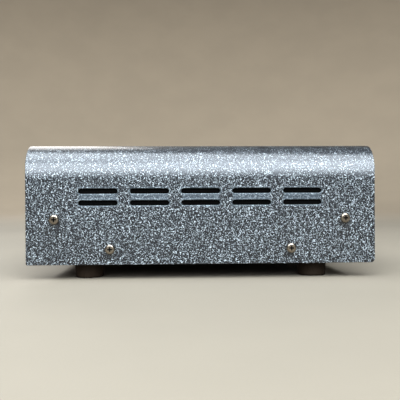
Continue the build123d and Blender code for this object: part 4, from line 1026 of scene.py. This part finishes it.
@dataclass
class RockerMarks:
    """The on and off marks moulded in white on the rocker: a bar at its upper end and a ring at its lower end."""

    paint: bpy.types.Material
    joint: str = "power_press"
    crown: float = 3.0 * MM
    slope: float = 8.0
    rest: float = 8.0
    reach: float = 4.9 * MM
    bar: Pair = (0.55 * MM, 2.6 * MM)
    ring: Pair = (0.85 * MM, 1.35 * MM)
    ink: float = 0.06 * MM
    steps: int = 24

    def on_face(self, across: np.ndarray, along: np.ndarray, lift: np.ndarray, end: int) -> np.ndarray:
        """Points on one half of the rocker's face.

        A half slopes outwards from the crown by the slope angle, and the whole rocker is turned about its pivot by
        the rest angle: y = crown + along * tan(slope) + lift, z = end * along, then both are turned.

        Args:
            across: Distances from the middle along X.
            along: Distances from the crown along the half.
            lift: Heights above the face.
            end: 1 for the upper half, -1 for the lower.

        Returns:
            The points.
        """
        joints = frame["record"]["behaviour"]["joints"]
        pivot = next(joint["pos_m"] for joint in joints if joint["name"] == self.joint)
        y = self.crown + along * math.tan(math.radians(self.slope)) + lift
        z = end * along
        turn = math.radians(-self.rest)
        turned_y, turned_z = y * math.cos(turn) - z * math.sin(turn), y * math.sin(turn) + z * math.cos(turn)
        return np.stack([pivot[0] + across, pivot[1] + turned_y, pivot[2] + turned_z], -1)

    def build(self) -> None:
        """The bar is a thin block and the ring is a thin closed band."""
        w, h = self.bar[0] / 2.0, self.bar[1] / 2.0
        across = np.array([w, -w, -w, w])
        along = self.reach + np.array([-h, -h, h, h])
        top = self.on_face(across, along, np.full(4, self.ink), 1)
        under = self.on_face(across, along, np.full(4, -self.ink), 1)
        bar = blocks(np.concatenate([top, under])[None])
        a = np.linspace(0.0, 2.0 * math.pi, self.steps, endpoint=False)
        loops = [self.on_face(radius * np.cos(a), self.reach + radius * np.sin(a), 0.0 * a + lift, -1)
                 for radius, lift in ((self.ring[1], -self.ink), (self.ring[1], self.ink), (self.ring[0], self.ink),
                                      (self.ring[0], -self.ink))]
        points, all_faces = joined([bar, (np.concatenate(loops), ring_faces(len(loops), self.steps))])
        piece = new_piece("rocker_marks", points, all_faces, self.paint)
        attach(piece, "power_switch")
        log.info("rocker marks: %d faces", len(all_faces))


@dataclass
class RearPrint:
    """White ink on the rear panel: frames round the speaker and effects sockets, the switch and the inlet."""

    ink: bpy.types.Material
    margin: float = 2.7 * MM
    framed: tuple[str, ...] = ("speaker_jacks", "effects_jacks", "switch_frame", "power_inlet")

    def build(self) -> None:
        """Each frame is its socket group's box plus a margin."""
        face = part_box("rear_panel")[1][1]
        frames = []
        for node in self.framed:
            low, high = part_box(node)
            frames.append(Outline((low[0] - self.margin, low[2] - self.margin),
                                  (high[0] + self.margin, high[2] + self.margin), face, 1).solid())
        points, faces = joined(frames)
        layer = new_piece("rear_frames", points, faces, self.ink)
        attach(layer, "case")
        log.info("rear frames: %d faces", len(faces))


# ---- studio
@dataclass(frozen=True)
class SoftLight:
    """One soft rectangular light: its middle, the point it faces, its width and height, its watts, its colour."""

    name: str
    place: Triple
    target: Triple
    size: Pair
    power: float
    colour: Colour

    def build(self) -> None:
        """Adds the light to the scene."""
        data = bpy.data.lights.new(self.name, "AREA")
        data.shape = "RECTANGLE"
        data.size, data.size_y = self.size
        data.energy = self.power
        data.color = self.colour
        lamp = bpy.data.objects.new(self.name, data)
        lamp.location = self.place
        lamp.rotation_euler = (Vector(self.target) - Vector(self.place)).to_track_quat("-Z", "Y").to_euler()
        bpy.context.scene.collection.objects.link(lamp)


@dataclass
class Studio:
    """A pale sweep, a tall soft window of three panes on the amp's left side, two weaker lights and the camera."""

    camera_place: Triple = (-0.461, 0.0148, 0.050)
    aim: Triple = (-0.109, 0.0012, 0.0472)
    field: float = 37.6
    roll: float = -0.3
    subject: Triple = (-0.1, 0.0, 0.05)
    daylight: Colour = (0.84, 0.93, 1.0)
    floor: Colour = (0.150, 0.126, 0.094)
    floor_flat: float = 1.3
    floor_reach: float = 3.2
    floor_rise: float = 0.75
    floor_steps: int = 96
    floor_rings: tuple[int, int] = (14, 30)
    floor_step: float = 0.1
    floor_darker: float = 0.94
    world: Colour = (0.80, 0.83, 0.90)
    world_strength: float = 0.13

    def build(self) -> None:
        """Sets up the sweep, the lights, the world and the camera."""
        self.sweep()
        for light in self.lights():
            light.build()
        world = bpy.data.worlds.new("studio")
        world.use_nodes = True
        sky = world.node_tree.nodes["Background"]
        sky.inputs["Color"].default_value = (*self.world, 1.0)
        sky.inputs["Strength"].default_value = self.world_strength
        bpy.context.scene.world = world
        bpy.context.scene.view_settings.view_transform = "Standard"
        self.camera()

    def lights(self) -> tuple[SoftLight, ...]:
        """The window's panes, one light for the sweep behind the amp and one for its far side."""
        return (
            SoftLight("window_middle", (-0.95, 0.03, 0.994), self.subject, (1.7, 0.87), 66.0, self.daylight),
            SoftLight("window_low", (-1.293, 0.03, 0.484), self.subject, (1.7, 0.42), 12.5, self.daylight),
            SoftLight("window_high", (-0.18, 0.03, 1.33), self.subject, (1.7, 0.80), 42.0, self.daylight),
            SoftLight("backdrop", (0.9, 0.0, 1.1), (2.4, 0.0, 0.5), (2.2, 0.7), 42.0, (1.0, 0.95, 0.87)),
            SoftLight("far_side", (1.2, 0.6, 0.9), (0.1, 0.0, 0.05), (0.9, 0.9), 9.0, (1.0, 0.97, 0.93)))

    def sweep(self) -> None:
        """A bowl: flat in the middle, then rising as the square of the distance beyond the flat radius."""
        flat = np.linspace(0.0, self.floor_flat, self.floor_rings[0])[1:]
        rising = np.linspace(self.floor_flat + self.floor_step, self.floor_reach, self.floor_rings[1])
        radius = np.concatenate([flat, rising])
        rise = np.clip(radius - self.floor_flat, 0.0, None) ** 2 * self.floor_rise
        points, faces = revolved(np.stack([radius, rise], -1), self.floor_steps)
        points = np.concatenate([points, [[0.0, 0.0, 0.0]]])
        inner = np.arange(self.floor_steps)
        hub = np.stack([np.full(self.floor_steps, len(points) - 1), inner, np.roll(inner, -1)], -1)
        g = Graph("pale_sweep")
        tone = g.levels(g.noise(7.0, detail=4.0, rough=0.6), 0.3, 0.7)
        darker = tuple(c * self.floor_darker for c in self.floor)
        finish = g.finish(base_color=g.blend(tone, darker, self.floor), roughness=0.75,
                          normal=g.relief(g.noise(900.0), 0.05 * MM))
        floor = new_piece("sweep", points, faces[:, ::-1].tolist() + hub.tolist(), finish, smooth=True)

    def camera(self) -> None:
        """Stands on the left side of the amp, level with it."""
        data = bpy.data.cameras.new("camera")
        data.angle = math.radians(self.field)
        data.clip_start = 0.01
        holder = bpy.data.objects.new("camera", data)
        look = (Vector(self.aim) - Vector(self.camera_place)).to_track_quat("-Z", "Y").to_matrix().to_4x4()
        holder.matrix_world = (Matrix.Translation(self.camera_place) @ look
                               @ Matrix.Rotation(math.radians(self.roll), 4, "Z"))
        bpy.context.scene.collection.objects.link(holder)
        bpy.context.scene.camera = holder


def make_finishes() -> dict[str, bpy.types.Material]:
    """One finish for each material slot of the record, under the slot's name."""
    kinds = (
        VeinedCoat("case_paint"),
        SatinPaint("pan_steel", (0.030, 0.031, 0.033)),
        SatinPaint("rear_paint", (0.022, 0.023, 0.025), 0.48),
        BrushedMetal("faceplate_metal", (0.045, 0.048, 0.052), 0.36, 0.85),
        Plating("screw_nickel", (0.24, 0.205, 0.165), 0.13),
        Plating("nut_steel", (0.62, 0.61, 0.58), 0.26),
        Moulding("foot_rubber", (0.012, 0.0070, 0.0036), 0.8, 0.5 * MM, 0.05 * MM, dust=(0.12, 0.08, 0.05),
                 dusty=0.05, shine=0.12),
        Laminate("board_laminate"),
        Moulding("component_plastic", (0.03, 0.03, 0.034), 0.4),
        Plating("control_steel", (0.60, 0.60, 0.57), 0.3),
        Plating("shaft_steel", (0.66, 0.66, 0.68), 0.28),
        Moulding("knob_plastic", (0.014, 0.014, 0.015), 0.34, 0.25 * MM, 0.012 * MM),
        Moulding("jack_plastic", (0.013, 0.013, 0.014), 0.4),
        Plating("lamp_chrome", (0.8, 0.8, 0.8), 0.1),
        Jewel("lamp_jewel", (0.7, 0.02, 0.012), 0.6),
        Moulding("inlet_plastic", (0.016, 0.016, 0.018), 0.5, 0.3 * MM, 0.03 * MM),
        Moulding("rocker_plastic", (0.014, 0.014, 0.015), 0.18, 0.6 * MM, 0.004 * MM),
        Plating("pin_brass", (0.72, 0.65, 0.48), 0.24),
        Jewel("fuse_glass", (0.86, 0.9, 0.9)),
        BrushedMetal("sink_aluminium", (0.05, 0.052, 0.058), 0.42, 0.8),
        SatinPaint("core_iron", (0.055, 0.054, 0.056), 0.38),
        Winding("copper_winding"),
        Moulding("capacitor_sleeve", (0.012, 0.022, 0.055), 0.24, 0.8 * MM, 0.01 * MM),
        Moulding("lead_sleeve", (0.16, 0.16, 0.18), 0.42, 0.6 * MM, 0.01 * MM),
    )
    return {kind.name: kind.material() for kind in kinds}


def main() -> None:
    """Builds the classes in order."""
    finishes = make_finishes()
    Cabinet(finishes).dress()
    lip_coat = VeinedCoat("lip_coat", dark=(0.03, 0.04, 0.05), light=(0.34, 0.38, 0.41), depth=0.04 * MM)
    SlotLips(lip_coat.material()).build()
    # Near-black painted shade, used for the sheet behind the slots and the bars in the screw recesses.
    foam = Moulding("filter_foam", (0.0015, 0.0015, 0.0015), 0.95, 0.6 * MM, 0.05 * MM, dust=(0.003, 0.003, 0.003),
                    shine=0.02).material()
    # Painted shade: a black sheet behind the left-hand slots.
    DustFilter(foam).build()
    ink = SatinPaint("white_ink", (0.62, 0.62, 0.60), 0.5).material()
    FrontPrint(ink).build()
    for knob in FrontPrint.knobs:
        Pointer(knob, ink).build()
    LampJewel(finishes["lamp_jewel"]).build()
    RearPrint(ink).build()
    RockerMarks(ink).build()
    # Painted shade: near-black bars in the screw recesses.
    RecessGrime(foam).build()
    Studio().build()


if __name__ == "__main__":
    main()
